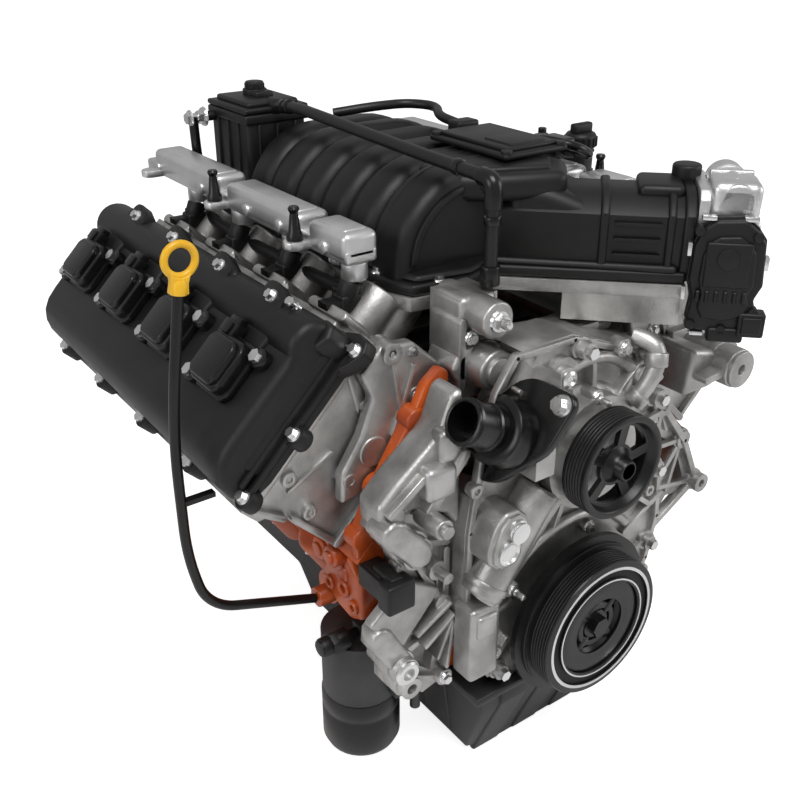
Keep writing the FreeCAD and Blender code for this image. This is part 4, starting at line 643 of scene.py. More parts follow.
shell = [rounded(plate(vault_edge(81, 356), -420, -104, "xz"), 6, 3, 50)]
for index in range(5):
    rear = -104 - index*54
    shell.append(lobe(rear - 50, rear, 90.5 if index else 88, 17))
shell.append(lobe(-428, -372, 91.5, 15))
shell.append(rounded(plate(vault_edge(92, 356), -392, -386, "xz"), 2.2, 2, 50))
arch = ring_edge((-38, 372), 78, 100, 176, 8) + ring_edge((-38, 372), 70, 176, 100, 8)
shell.append(rounded(plate(arch, -432, -426, "xz"), 2, 2, 50))
hexagon = [(-60, -422), (-30, -446), (44, -478), (80, -440), (80, -350), (-30, -336), (-62, -366)]
shell.append(rounded(plate(hexagon, 430, 458.5, "xy"), 10, 4, 40))
inner = [(-44, -416), (-24, -432), (38, -460), (64, -430), (64, -362), (-24, -350), (-46, -374)]
shell.append(rounded(plate(inner, 452, 462.5, "xy"), 4, 3, 40))
flange = [(-136, -38), (-136, -416), (-124, -446), (-60, -456), (-20, -442)]
flange += [(Q*(494 - 324), -Q*(494 + 324)), (Q*(494 - 220), -Q*(494 + 220)), (136, -444), (136, -38)]
shell.append(rounded(plate(flange, 352.3, 364, "xy"), 3.4, 3, 30))
shell.append(rounded(plate([(x*0.94, y*0.985 - 3) for x, y in flange], 362, 371, "xy"), 5, 3, 30))
# the inlet's outline is drawn as minus aside and up, and its levels run ahead
tube = [(-312, 356), (-320, 372), (-320, 420), (-306, 434), (-286, 439), (-254, 439), (-234, 434),
        (-220, 420), (-220, 372), (-228, 356)]
shell.append(bored(rounded(plate(tube, 300, 494, "yz", INLET), 5, 3, 50)))
wide = [(-270 + (a + 270)*1.07, 396 + (b - 396)*1.10) for a, b in tube]
for start, stop in ((404, 413), (470, 478), (486, 497.6)):
    shell.append(bored(rounded(plate(wide, start, stop, "yz", INLET), 2.6, 3, 50)))
mount = rounded(plate([(300, 350), (384, 350), (404, 372), (404, 424), (384, 432), (356, 442),
                       (312, 452)], -318, -222, "xz", INLET), 14, 4, 50)
shell.append(bored(mount))
shell.append(bored(rounded_box((440, -300, 430), (486, -240, 446), 6, INLET)))
shell.append(rounded(bar((490, -250, 436), (490, -250, 458), 15, INLET, 32), 3, 3))
for c in (322, 219):
    for height in (380, 396, 412):
        shell.append(rounded(rib((420, height), (464, height), 3.4, -c - 1.6, -c + 1.6, "xz", INLET), 1))
stands_for(joined("intake_shell", *shell), "intake_upper")
skirt_screws = [(-128, -60), (-128, -170), (-128, -280), (-128, -390), (128, -60), (128, -170),
                (128, -280), (128, -400), (-92, -446), (30, -470)]
goes_with(joined("skirt_screws", *[screw((x, y, 363.5), UP, 5, 6) for x, y in skirt_screws]),
          "intake_upper", "bright_steel")
print("intake lobes and inlet ready")

# %% [markdown]
# The fuel rails are satin castings with three humps each. The tapered posts between the humps end
# in a ball.

# %% Fuel rails and posts
# where the posts stand along a rail, from the bank's middle
POSTS = (-107, 68)
for side, (sign, lead) in zip(SIDES, BANK_MIDDLES):
    x = sign*172
    body = [rounded_box((x - 18, lead - 184, 392), (x + 18, lead + 278, 407), 3.5)]
    for front, rear, top in ((-184, -116, 423), (-98, 58, 422), (78, 250, 424)):
        body.append(rounded_box((x - 19.5, lead + front, 394), (x + 19.5, lead + rear, top), 7, ENGINE, 4))
        body.append(rounded_box((x - 13, lead + front + 10, top - 4), (x + 13, lead + rear - 12, top + 1.4),
                                2.5))
    for place in (-146, -60, 10, 120, 240):
        body.append(rounded(bar((x + sign*10, lead + place, 402), (x + sign*22, lead + place, 402), 7,
                                ENGINE, 24), 1.6))
    for place in (-120, 55, 230):
        body.append(rounded(rib((x + sign*16, lead + place + 13), (x + sign*30, lead + place + 13), 22,
                                392, 401, "xy"), 2))
    for place in POSTS:
        body.append(rounded(bar((x + sign*28, lead + place, 392), (x + sign*28, lead + place, 401.2), 11,
                                ENGINE, 28), 1.4))
    for step in BORES:
        body.append(rounded(turned([(9, 0), (13, 0), (13, 18), (9, 18)], (x, lead + step, 374),
                                   (x, lead + step, 394), ENGINE, 32), 1.2))
    for place in (-102, 84):
        inner = x - sign*24
        body.append(rounded_box((inner - 6, lead + place - 10, 364.4), (inner + 6, lead + place + 10, 396),
                                2.5))
        body.append(rounded(rib((inner - sign*2, lead + place), (inner - sign*14, lead + place), 20,
                                364.4, 373, "xy"), 2))
    stands_for(joined(f"rail_{side}", *body), f"fuel_rail_{side}")
posts = []
for sign, lead in BANK_MIDDLES:
    for place in POSTS:
        at = (sign*200, lead + place, 401.4)
        profile = [(0, 0), (8.5, 0), (8.5, 5), (6.2, 9), (4.6, 24), (4.0, 27), (5.4, 29.5), (5.8, 31.5),
                   (4.6, 33.6), (0, 34)]
        posts.append(turned(profile, at, (at[0], at[1], 436), ENGINE, 28))
stands_for(smooth(joined("posts", *posts), 40), "rail_posts", "black_gloss")
print("rails ready")

# %% [markdown]
# Between the banks a ribbed tray covers the valley. Over it, under the fuel rails, lie the injectors'
# loom and short cast ports beside the heads.

# %% Valley tray, injector loom and ports
tray = [rounded_box((-96, -466, 258), (96, -22, 266), 3)]
for y in range(-440, -30, 42):
    tray.append(rounded_box((-84, y, 264), (84, y + 7, 270), 2))
goes_with(joined("valley_tray", *tray), "cylinder_block", "black_moulding")
loom = []
for sign, lead in BANK_MIDDLES:
    run = [(sign*150, lead + 190, 366), (sign*166, lead + 170, 352), (sign*168, lead + 60, 350),
           (sign*166, lead - 60, 350), (sign*166, lead - 160, 352), (sign*150, lead - 178, 362)]
    loom.append(smooth(pipe(run, 7), 60))
    for step in BORES:
        y = lead + step
        loom.append(rounded_box((sign*181 - 12, y - 10, 343), (sign*181 + 12, y + 10, 361), 3))
        loom.append(rounded_box((sign*170 - 9, y + 12, 344), (sign*170 + 9, y + 34, 358), 3))
        loom.append(rounded(bar((sign*176, y, 372), (sign*184, y, 352), 10.5, ENGINE, 28), 2))
goes_with(joined("injector_loom", *loom), "fuel_injectors", "black_moulding")
runner = []
for side in SIDES:
    place = BANK[side]
    for y in BORES:
        runner.append(rounded(block((66, y - 24, 380), (104, y + 22, 392), place), 3, 3))
        runner.append(rounded(bar((104, y - 6, 352), (150, y - 6, 352), 21, place, 36), 3, 3))
        runner.append(rounded(rib((103, y - 30), (103, y + 24), 12, 356, 396, "xy", place), 3, 3))
goes_with(joined("port_castings", *runner), "intake_lower", "cast_aluminium")
print("valley tray, loom and ports ready")

# %% [markdown]
# The throttle's gear cover is a faceted black shell held by spring clips, with a raised panel, a
# row of small ribs and a connector at its foot. The pale housing behind it holds the motor.

# %% Throttle body and gear cover
def gear_plate(scale, low, high, width, segments=2):
    """One layer of the gear cover: its outline drawn in or out about its middle."""
    outline = [(499, 341), (494, 362), (496, 398), (503, 416), (514, 424), (543, 426), (557, 415),
               (566, 403), (569, 357), (562, 341), (566, 328), (562, 314), (546, 306), (532, 303),
               (504, 306), (497, 319)]
    grown = [(531 + (s - 531)*scale, 364 + (z - 364)*scale) for s, z in outline]
    return rounded(plate(grown, -high, -low, "xz", INLET), width, segments, 30)


cover = [gear_plate(1.0, 318.3, 325, 1.2), gear_plate(0.965, 324, 333, 3.2, 3),
         gear_plate(0.72, 330, 337, 2.4, 3)]
cover.append(rounded_box((508, -338.5, 356), (552, -332, 402), 2, INLET))
cover.append(rounded(bar((530, -334, 386), (530, -340, 386), 11, INLET, 36), 1.2))
for step in range(6):
    cover.append(rounded_box((503 + step*9, -339, 340), (507 + step*9, -330, 352), 0.8, INLET, 1))
for s, z in ((500, 412), (556, 408), (562, 330), (502, 314), (533, 310)):
    cover.append(rounded(bar((s, -324, z), (s, -336, z), 5, INLET, 20), 1))
cover.append(rounded_box((548, -338, 304), (575, -320, 330), 2.5, INLET))
cover.append(rounded_box((552, -340, 308), (571, -336, 326), 1.4, INLET))
cover.append(rounded_box((520, -336, 296.4), (556, -320, 312), 3, INLET))
stands_for(joined("gear_cover", *cover), "throttle_cover")

clips = []
for s, z, turn in ((508, 424, 0), (548, 424, 0), (493, 392, 1), (492, 346, 1), (510, 303, 0),
                   (538, 302, 0), (568, 380, 1)):
    half = (7, 2.2) if turn == 0 else (2.2, 7)
    clips.append(rounded_box((s - half[0], -331, z - half[1]), (s + half[0], -321, z + half[1]),
                             0.9, INLET, 2))
goes_with(joined("cover_clips", *clips), "throttle_cover", "bright_steel")

barrel = turned([(40, 0), (47, 0), (47, 14), (45, 17), (45, 46), (48, 49), (48, 61.4), (43, 61.4),
                 (43, 50), (40, 49)], inlet_spot(498.3), inlet_spot(560), INLET, 72)
throttle = [smooth(barrel, 40)]
flange_edge = [(-317.5, 354), (-308, 345), (-232, 345), (-219, 356), (-219, 436), (-232, 447),
               (-308, 447), (-317.5, 438)]
mouth = bar(inlet_spot(490), inlet_spot(520), 44, INLET, 64)
throttle.append(rounded(cut(plate(flange_edge, 498.3, 509, "yz", INLET), mouth), 1.8, 2))
throttle.append(rounded_box((507, -317.6, 348), (558, -298, 424), 5, INLET))
throttle.append(rounded_box((508, -317.6, 414), (558, -268, 455.5), 9, INLET, 4))
throttle.append(rounded(bar((534, -317.6, 434), (534, -208, 434), 20.5, INLET, 48), 3, 3))
for start, stop, radius, width in ((-296, -290, 22, 1.2), (-240, -233, 22, 1.2), (-210, -204.5, 14, 1.6)):
    throttle.append(rounded(bar((534, start, 434), (534, stop, 434), radius, INLET, 48), width))
for height in (362, 378, 394, 410):
    throttle.append(rounded_box((512, -318, height), (552, -300, height + 4), 1, INLET, 1))
throttle.append(rounded_box((512, -262, 440), (556, -254, 455), 2, INLET))
# what is laid on the barrel is cleared from its bore and from the wider mouth
for piece in throttle[1:]:
    for start, radius in ((490, 40.1), (548, 43.1)):
        cut(piece, bar(inlet_spot(start), inlet_spot(570), radius, INLET, 96))
stands_for(joined("throttle_casting", *throttle), "throttle_body")
throttle_screws = [screw((509, -c, z), (1, 0, 0), 5, 6, INLET)
                   for c, z in ((226, 353), (310, 353), (226, 439))]
goes_with(joined("throttle_screws", *throttle_screws), "throttle_body", "bright_steel")
print("throttle ready")

# %% [markdown]
# The oil separator is a soft-cornered box with a flanged lid and a capped turret. Its silver
# fitting and the clamps on the hose are small, but the eye goes to them.

# %% Separator, hose clamps, filler and sensor lid
box_parts = [rounded_box((-112, -96, 364.6), (-30, 0, 464), 7, ENGINE, 4),
             rounded_box((-115, -99, 458), (-27, 2.6, 470), 3, ENGINE, 3)]
for x in (-96, -71, -46):
    box_parts.append(rounded_box((x - 2, -99, 380), (x + 2, -90, 458), 1.4))
for y in (-74, -48, -22):
    box_parts.append(rounded_box((-114.5, y - 2, 380), (-106, y + 2, 458), 1.4))
box_parts.append(rounded(bar((-128.5, -12, 458), (-108, -12, 458), 6, ENGINE, 28), 1))
stands_for(joined("separator", *box_parts), "vent_separator")
TURRET = (-68, -38)
lid = [rounded_box((-114.6, -98.6, 470.4), (-27.4, 2.6, 477), 2.4, ENGINE, 3),
       rounded_box((-106, -90, 475), (-36, -6, 483), 3.4, ENGINE, 3),
       rounded(bar((*TURRET, 481), (*TURRET, 490), 15, ENGINE, 40), 1.6, 3),
       rounded(bar((*TURRET, 489), (*TURRET, 498.6), 11.5, ENGINE, 40), 1.6, 3),
       rounded_box((-80, -64, 480), (-56, -44, 489), 2),
       rounded(bar((-70, -100, 477), (-70, -80, 477), 9, ENGINE, 32), 1.2)]
for step in range(10):
    turn = math.radians(36*step)
    x, y = TURRET[0] + 11*math.cos(turn), TURRET[1] + 11*math.sin(turn)
    lid.append(rounded_box((x - 1.3, y - 1.3, 489), (x + 1.3, y + 1.3, 496.5), 0.5, ENGINE, 1))
stands_for(joined("separator_lid", *lid), "separator_cap")
fitting = [screw((-127, -12, 458), (-1, 0, 0), 9, 10), bar((-137, -12, 458), (-146, -12, 458), 5.5),
           screw((-146, -12, 458), (-1, 0, 0), 7.5, 6)]
goes_with(joined("separator_fitting", *fitting), "vent_separator", "bright_steel")
stub = pipe([(-142, -12, 460), (-142, -12, 440), (-141, -14, 400), (-138, -20, 366)], 6)
goes_with(stub, "vent_separator", "black_gloss").name = "separator_pipe"

clamps = []
for start, stop, radius in (((-72.3, -112, 479), (-72.7, -120, 480.3), 8.2),
                            ((-72.8, -128, 481.4), (-73.2, -134, 482.3), 8.6),
                            ((-76, -448, 475.2), (-76, -456, 475), 8.2),
                            ((-76, -503, 440), (-76, -503, 432), 8.4),
                            ((-76, -503, 392), (-76, -503, 373), 9.6)):
    clamps.append(rounded(bar(start, stop, radius, ENGINE, 32), 1))
goes_with(joined("hose_clamps", *clamps), "vent_hose", "black_gloss")
elbow = pipe([(-76, -486, 473.6), (-76, -500, 474), (-76, -503.5, 462), (-76, -503, 448)], 9)
goes_with(elbow, "vent_hose", "black_gloss").name = "hose_elbow"

FILLER = (262, -281)
neck = turned([(14, 0), (19, 0), (19, 8), (17, 9), (17, 30), (18.6, 31), (18.6, 33), (17, 34), (17, 36),
               (14, 36)], (*FILLER, 382.4), (*FILLER, 420), ENGINE, 56)
stands_for(smooth(neck, 40), "oil_filler_neck", "black_gloss").name = "filler_neck_tube"
cap = [rounded(turned([(0, 0), (20, 0), (20, 14), (17, 18), (0, 18)], (*FILLER, 419), (*FILLER, 437),
                      ENGINE, 56), 1.2),
       bar((*FILLER, 408), (*FILLER, 420), 13.2, ENGINE, 40),
       rounded_box((246, -286.5, 435), (278, -275.5, 448.4), 3.2, ENGINE, 3)]
for step in range(18):
    turn = math.radians(20*step)
    x, y = FILLER[0] + 20*math.cos(turn), FILLER[1] + 20*math.sin(turn)
    cap.append(rounded(bar((x, y, 420.5), (x, y, 432), 1.7, ENGINE, 12), 0.5, 1))
stands_for(joined("filler_lid", *cap), "oil_filler_cap")

lid = [rounded_box((2, -430, 464.5), (90, -304, 471), 2.6, ENGINE, 3),
       rounded_box((10, -422, 470), (82, -312, 475.2), 2, ENGINE, 3),
       rounded_box((44, -304, 464.5), (74, -282.4, 478.2), 3, ENGINE, 3),
       rounded_box((22, -416, 473), (70, -372, 477), 1.6)]
for x, y in ((9, -424), (84, -424), (9, -310)):
    lid.append(rounded(bar((x, y, 466), (x, y, 474), 6, ENGINE, 24), 0.8))
stands_for(joined("sensor_lid", *lid), "pressure_sensor_module")

# a small solenoid valve with a looped hose beside the filler
valve = [rounded_box((172, -330, 420), (204, -292, 446), 4, ENGINE, 3),
         rounded(bar((188, -330, 434), (188, -348, 434), 7, ENGINE, 28), 1),
         rounded(bar((176, -300, 445), (176, -300, 456), 5, ENGINE, 24), 1),
         pipe([(188, -344, 434), (188, -364, 434), (176, -380, 440), (150, -384, 452), (128, -360, 458),
               (136, -330, 454), (160, -312, 448), (176, -306, 446)], 5.4)]
goes_with(joined("purge_valve", *valve), "intake_upper", "black_gloss")
print("top dressing ready")

# %% [markdown]
# The front of the engine is cast metal. The frame's own castings stay as the base here, and lips,
# ribs, bosses and plugs are laid on them the way a pattern maker would add them.

# %% Front cover castings
def beads(points, radius):
    """A smooth raised line that follows the points."""
    return smooth(pipe(points, radius), 60)


def face_rib(start, end, width, front, rear, round_off=2.0):
    """A cast rib on a face that looks forward; start and end are across and up."""
    return rounded(rib(start, end, width, front, rear, "xz"), round_off, 2)


def collar(x, z, radius, front, rear, hole=0.0):
    """A round boss that looks forward, with a blind hole if asked."""
    piece = bar((x, rear, z), (x, front, z), radius, ENGINE, 32)
    if hole:
        cut(piece, bar((x, front + 9, z), (x, front - 5, z), hole, ENGINE, 24))
    return rounded(piece, 1.4, 2)


# the cover's square shoulder under the hose neck is cut back
shoulder = [(-40, -588.5), (-40, -640), (-120, -640), (-120, -611), (-80, -611), (-58, -588.5)]
cut(soft["timing_cover"], plate(shoulder, 205, 325))
cast = []
rim = [(-112, -50), (-134, -10), (-146, 40), (-146, 150), (-134, 236), (-118, 296), (-96, 328),
       (-20, 328), (40, 304), (98, 286), (114, 240), (122, 190), (140, 120), (146, 60), (136, 4),
       (112, -44)]
for (x0, z0), (x1, z1) in zip(rim, rim[1:]):
    cast.append(face_rib((x0*0.972, z0*0.985), (x1*0.972, z1*0.985), 7, -567, -558, 2.2))
for start, end, width, reach in (
        ((-50, 240), (-92, 290), 6, 572), ((-24, 262), (-36, 300), 7, 574), ((8, 264), (2, 318), 6, 573),
        ((42, 244), (86, 284), 8, 574), ((56, 226), (112, 248), 6, 572), ((62, 196), (118, 204), 7, 573),
        ((58, 172), (128, 134), 8, 574), ((40, 150), (122, 84), 6, 571), ((-84, 40), (-130, 30), 6, 570),
        ((-88, -8), (-112, -34), 7, 571), ((84, 60), (140, 92), 6, 570), ((94, 24), (136, 34), 6, 570),
        ((88, -22), (108, -40), 7, 571), ((20, 130), (56, 96), 6, 569),
        ((-62, 226), (-126, 210), 6, 571), ((-20, 138), (-30, 104), 7, 570), ((-110, 60), (-134, 4), 6, 570)):
    cast.append(face_rib(start, end, width, -reach, -560))
cast.append(beads([(x, -567, z) for x, z in ring_edge((0, PUMP_Z), 96, 28, 158, 12)], 6.5))
cast.append(beads([(x, -566, z) for x, z in ring_edge((0, 0), 112, 40, 148, 12)], 5.5))
cast.append(smooth(turned([(56, 0), (70, 0), (68, 6), (62, 10), (56, 10)], (0, -560, PUMP_Z),
                          (0, -580, PUMP_Z), ENGINE, 72), 40))
for x, z, radius, reach, hole in ((-39, 292, 12, 580, 5), (0, 262, 9, 584, 0), (45, 300, 10, 574, 0),
                                  (76, 262, 12, 578, 4), (100, 168, 8, 574, 0), (118, 104, 7, 572, 3),
                                  (-88, 60, 9, 574, 0), (-104, -18, 9, 572, 4),
                                  (24, 92, 8, 570, 0), (-76, 274, 9, 576, 4),
                                  (128, -12, 8, 570, 4), (-138, 196, 8, 570, 3)):
    cast.append(collar(x, z, radius, -reach, -558, hole))
for x, z, radius in ((-130, 30, 12), (-96, -48, 12), (96, -48, 12), (128, 30, 12), (84, 284, 12),
                     (110, 225, 13), (126, 130, 13), (-10, 312, 12)):
    cast.append(collar(x, z, radius, -567, -558))
cast.append(beads([(66, -566, 306), (74, -584, 304), (76, -592, 290), (66, -594, 268), (52, -588, 246),
                   (46, -570, 238)], 9.5))
cast.append(rounded(bar((75, -590, 294), (72, -593, 280), 12, ENGINE, 32), 1.4))
cast.append(rounded(bar((56, -592, 254), (50, -587, 244), 12, ENGINE, 32), 1.4))
cast.append(rounded(rib((-115, 160), (-124, 136), 42, -597, -556, "xz"), 4, 3))
cast.append(rounded(rib((-115, 160), (-124, 136), 34, -600, -590, "xz"), 1.6, 2))
cast.append(rounded(bar((-62, -574, 178), (-137, -578, 79), 22, ENGINE, 48), 4, 3, 60))
cast.append(rounded(bar((-126, -576.5, 93), (-131, -576.3, 86), 24.5, ENGINE, 48), 1.6, 2))
cast.append(rounded_box((-152, -586, -26), (-114, -554, 66), 5, ENGINE, 3))
cast.append(rounded_box((-146, -590, 30), (-120, -580, 58), 4, ENGINE, 3))
wing = [(-144, 302), (-156, 298), (-170, 262), (-190, 246), (-216, 226), (-240, 204), (-238, 176),
        (-200, 190), (-160, 170), (-144, 150)]
cast.append(rounded(plate(wing, -552, -514, "xz"), 6, 4, 25))
cast.append(rounded_box((-196, -568, 200), (-160, -540, 236), 7, ENGINE, 4))
cast.append(rounded_box((-176, -562, 232), (-148, -540, 268), 7, ENGINE, 4))
cast.append(rounded(rib((-150, 240), (-190, 190), 12, -566, -540, "xz"), 3, 3))
cast.append(rounded(rib((-196, 226), (-232, 200), 8, -562, -540, "xz"), 3, 3))
cast.append(front_bar(-190, 182, 10.5, -548, -586, 2, 3, 32))
cast.append(front_bar(-190, 182, 7, -580, -592, 1.6, 2, 32))
goes_with(joined("front_castings", *cast), "timing_cover", "cast_aluminium")

studs = []
for x, z, reach, radius in ((0, 262, 584, 4.6), (45, 300, 574, 4.4), (100, 168, 574, 4.4),
                            (24, 92, 570, 4.4), (-88, 60, 574, 4.6)):
    studs.append(screw((x, -reach + 0.4, z), FORWARD, radius + 1.4, 6))
    if radius > 4.5:
        studs.append(rounded(bar((x, -reach, z), (x, -reach - 17, z), radius - 1.4, ENGINE, 20), 0.6))
plugs = [turned([(0, 0), (9, 0), (9, 3), (6, 4.4), (4.6, 2.4), (0, 2.4)], (-39, -580, 292),
                (-39, -590, 292), ENGINE, 40),
         turned([(0, 0), (13.4, 0), (13.4, 3), (11, 4), (9, 1.6), (0, 1.6)], (-122, -600, 137),
                (-122, -610, 137), ENGINE, 40)]
goes_with(joined("front_studs", *studs, *plugs), "timing_cover", "bright_steel")
print("front cover ribs", len(cast))

# %% [markdown]
# The coolant crossover joins the banks behind the cover. Each head shows a cast front with ribs, a
# pad, a core plug and bosses, and an orange ear of the block shows beside the cover.

# %% Crossover, head fronts and the block's castings
cross = [rounded(rib((-108, 300), (-82, 300), 40, -516, -470, "xz"), 5, 3),
         front_bar(-93, 300, 21, -540, -470, 3),
         front_bar(-93, 300, 15, -545, -538, 2, 2),
         front_bar(-95, 352, 18.5, -540, -460, 2.4),
         rounded_box((-117, -512, 322), (-72, -466, 369), 7, ENGINE, 4),
         front_bar(-62, 280, 16, -524, -470, 2.4),
         front_bar(-30, 282, 13, -520, -470, 2.4),
         rounded(rib((-86, 280), (56, 284), 27, -513, -470, "xz"), 5, 3),
         front_bar(36, 284, 15, -522, -470, 2.4),
         rounded(rib((-117, 346), (-117, 280), 9, -516, -470, "xz"), 2.4, 2),
         rounded(rib((-72, 340), (-30, 300), 8, -506, -478, "xz"), 2.4, 2),
         rounded(rib((-50, 312), (40, 300), 8, -508, -478, "xz"), 2.4, 2)]
goes_with(joined("crossover_bosses", *cross), "coolant_crossover", "cast_aluminium")
nuts = [screw((-95, -540, 352), FORWARD, 8.5, 8), screw((-62, -524, 280), FORWARD, 6.5, 7),
        screw((36, -522, 284), FORWARD, 6.5, 7), screw((-108, -516, 330), FORWARD, 5.4, 6),
        front_bar(-95, 352, 3.6, -548, -556, 0.6, 2, 20)]
goes_with(joined("crossover_nuts", *nuts), "coolant_crossover", "bright_steel")

# where each head's front face stands in its own bank, and the way it looks
HEAD_FACES = {"right": (-231, -1), "left": (231, 1)}
HEAD_PAD = [(66, 374), (100, 374), (122, 346), (124, 292), (106, 280), (60, 284), (16, 278), (-30, 290),
            (-44, 300), (-20, 322), (20, 330), (56, 346)]
CORE_PLUG = [(0, 4), (16, 4), (16, 18), (14.6, 19), (11, 18.2), (0, 18.2)]


def head_rib(side, start, end, width, rear, reach):
    """A rib on a head's front, between two distances from its face."""
    front, out = HEAD_FACES[side]
    low, high = sorted((front + out*rear, front + out*reach))
    return rounded(rib(start, end, width, low, high, "xz", BANK[side]), 1.8, 2)


def head_boss(side, l, r, radius, reach, hole):
    """A round boss on a head's front, with a blind hole if its radius isn't 0."""
    front, out = HEAD_FACES[side]
    piece = bar((l, front - out*6, r), (l, front + out*reach, r), radius, BANK[side], 28)
    if hole:
        cut(piece, bar((l, front + out*2, r), (l, front + out*(reach + 3), r), hole, BANK[side], 20))
    return rounded(piece, 1.2, 2)


for side in SIDES:
    place = BANK[side]
    front, out = HEAD_FACES[side]
    head = [head_rib(side, start, end, width, -6, reach) for start, end, width, reach in (
        ((-94, 379), (94, 379), 8, 6), ((-80, 264), (100, 264), 9, 8), ((-80, 266), (-80, 330), 7, 6),
        ((102, 268), (102, 340), 8, 6), ((94, 352), (104, 342), 7, 6), ((-84, 340), (-92, 374), 7, 6),
        ((40, 340), (60, 374), 5, 4), ((40, 340), (96, 322), 5, 4), ((-8, 336), (-60, 352), 5, 3))]
    low, high = sorted((front + out*2, front + out*17))
    head.append(rounded(plate(HEAD_PAD, low, high, "xz", place), 4, 3, 25))
    head.append(rounded(turned(CORE_PLUG, (16, front, 307), (16, front + out*20, 307), place, 48), 0.5, 1))
    for l, r, radius, reach, hole in ((-20, 309, 8, 18, 3.4), (-67, 316, 8, 5, 3.4), (100, 362, 11, 22, 4),
                                      (84, 304, 9, 19, 0), (-50, 362, 8, 5, 3), (62, 296, 7, 19, 2.6)):
        head.append(head_boss(side, l, r, radius, reach, hole))
    for start, end in (((100, 362), (60, 306)), ((104, 330), (40, 300))):
        head.append(head_rib(side, start, end, 5, 10, 21))
    goes_with(joined(f"head_front_{side}", *head), f"cylinder_head_{side}", "cast_aluminium")
    pins = [screw((84, front + out*19, 304), (0, out, 0), 4.6, 5, place),
            screw((114, front + out*17, 340), (0, out, 0), 4.2, 5, place)]
    goes_with(joined(f"head_pins_{side}", *pins), f"cylinder_head_{side}", "bright_steel")


def collar_side(y, z, radius, outer, inner):
    """A round boss on the engine's right flank, with a hollow in its face."""
    ring = turned([(0, 4), (radius*0.46, 4), (radius*0.5, 0.6), (radius - 1.4, 0), (radius, 1.4),
                   (radius, inner - outer), (0, inner - outer)], (outer, y, z), (inner, y, z), ENGINE, 40)
    return smooth(ring, 40)


ear = [(-130, 300), (-140, 306), (-158, 292), (-176, 256), (-196, 222), (-216, 194), (-232, 168),
       (-240, 150), (-238, 122), (-200, 112), (-130, 124)]
iron = [rounded(plate(ear, -511.6, -499, "xz"), 3, 2, 25)]
for x, z, radius, reach in ((-168, 258, 13, 514), (-208, 194, 14, 515), (-233, 148, 12, 514)):
    iron.append(front_bar(x, z, radius, -494, -reach, 2.4, 3, 32))
for start, end in (((-168, 258), (-208, 194)), ((-208, 194), (-233, 148))):
    iron.append(rounded(rib(start, end, 17, -513, -496, "xz"), 4, 3))
foot = [(-436, 74), (-442, 50), (-462, 38), (-488, 34), (-508, 44), (-508, 88), (-492, 112), (-462, 108)]
iron.append(rounded(plate(foot, -234, -196, "yz"), 6, 4, 30))
for y, z, radius in ((-466, 98, 12), (-479, 70, 10), (-452, 62, 8), (-496, 56, 8)):
    iron.append(collar_side(y, z, radius, -238, -214))
for y, z, radius in ((-476, 86, 16), (-452, 58, 14), (-492, 40, 17), (-470, 108, 12), (-436, 96, 13)):
    x = -178 - (z - 22)*0.62
    iron.append(rounded(bar((x + 24, y, z), (x - 15, y, z), radius, ENGINE, 32), 3, 3))
    iron.append(rounded(bar((x - 12, y, z), (x - 18, y, z), radius*0.62, ENGINE, 28), 1.6, 2))
for y in (-500, -460, -400, -343, -286, -230, -174, -118, -62, -16):
    web = [(-176, 24), (-190, 27), (-236, 100), (-243, 121), (-232, 124)]
    iron.append(rounded(plate(web, y - 4, y + 4, "xz"), 2.2, 2, 25))
for sign, middle in BANK_MIDDLES:
    for y, z in ((-412, 20), (-420, 66), (-262, 20), (-262, 66)):
        reach = 214 if y < -400 else 188
        boss = bar((sign*(reach - 12), y, z), (sign*(reach + 1.2), y, z), 16.5, ENGINE, 32)
        cut(boss, bar((sign*(reach - 20), y, z), (sign*(reach + 6), y, z), 5.2, ENGINE, 24))
        iron.append(rounded(boss, 1.4, 2))
    for step in BORES:
        y = middle + step
        iron.append(rounded(bar((sign*178, y, 30), (sign*226, y, 104), 26, ENGINE, 40), 6, 4))
goes_with(joined("block_castings", *iron), "cylinder_block", "orange_paint")
print("head fronts and block ear ready")

# %% [markdown]
# Open webbed castings for the belt-driven units stand on both sides of the cover. Ribs run from boss
# to boss, and the long boss high on the engine's left belongs to the alternator's bracket.

# %% Brackets beside the front cover
web = []
for start, end, width, front in (
        ((158, 188), (206, 128), 8, 545), ((206, 128), (240, 60), 8, 545), ((158, 188), (150, 96), 7, 543),
        ((206, 128), (152, 60), 6, 541), ((206, 128), (150, 132), 6, 541), ((240, 60), (172, 20), 8, 543),
        ((240, 60), (160, 74), 6, 541), ((206, 128), (190, 62), 6, 540), ((158, 188), (176, 150), 5, 539),
        ((162, -30), (152, 60), 7, 541)):
    web.append(face_rib(start, end, width, -front, -530))
for x, z, radius, reach in ((158, 188, 14, 541), (206, 128, 13.5, 539), (240, 60, 14, 541)):
    web.append(collar(x, z, radius, -reach, -530))
goes_with(joined("bracket_webs_left", *web), "accessory_bracket", "cast_aluminium")

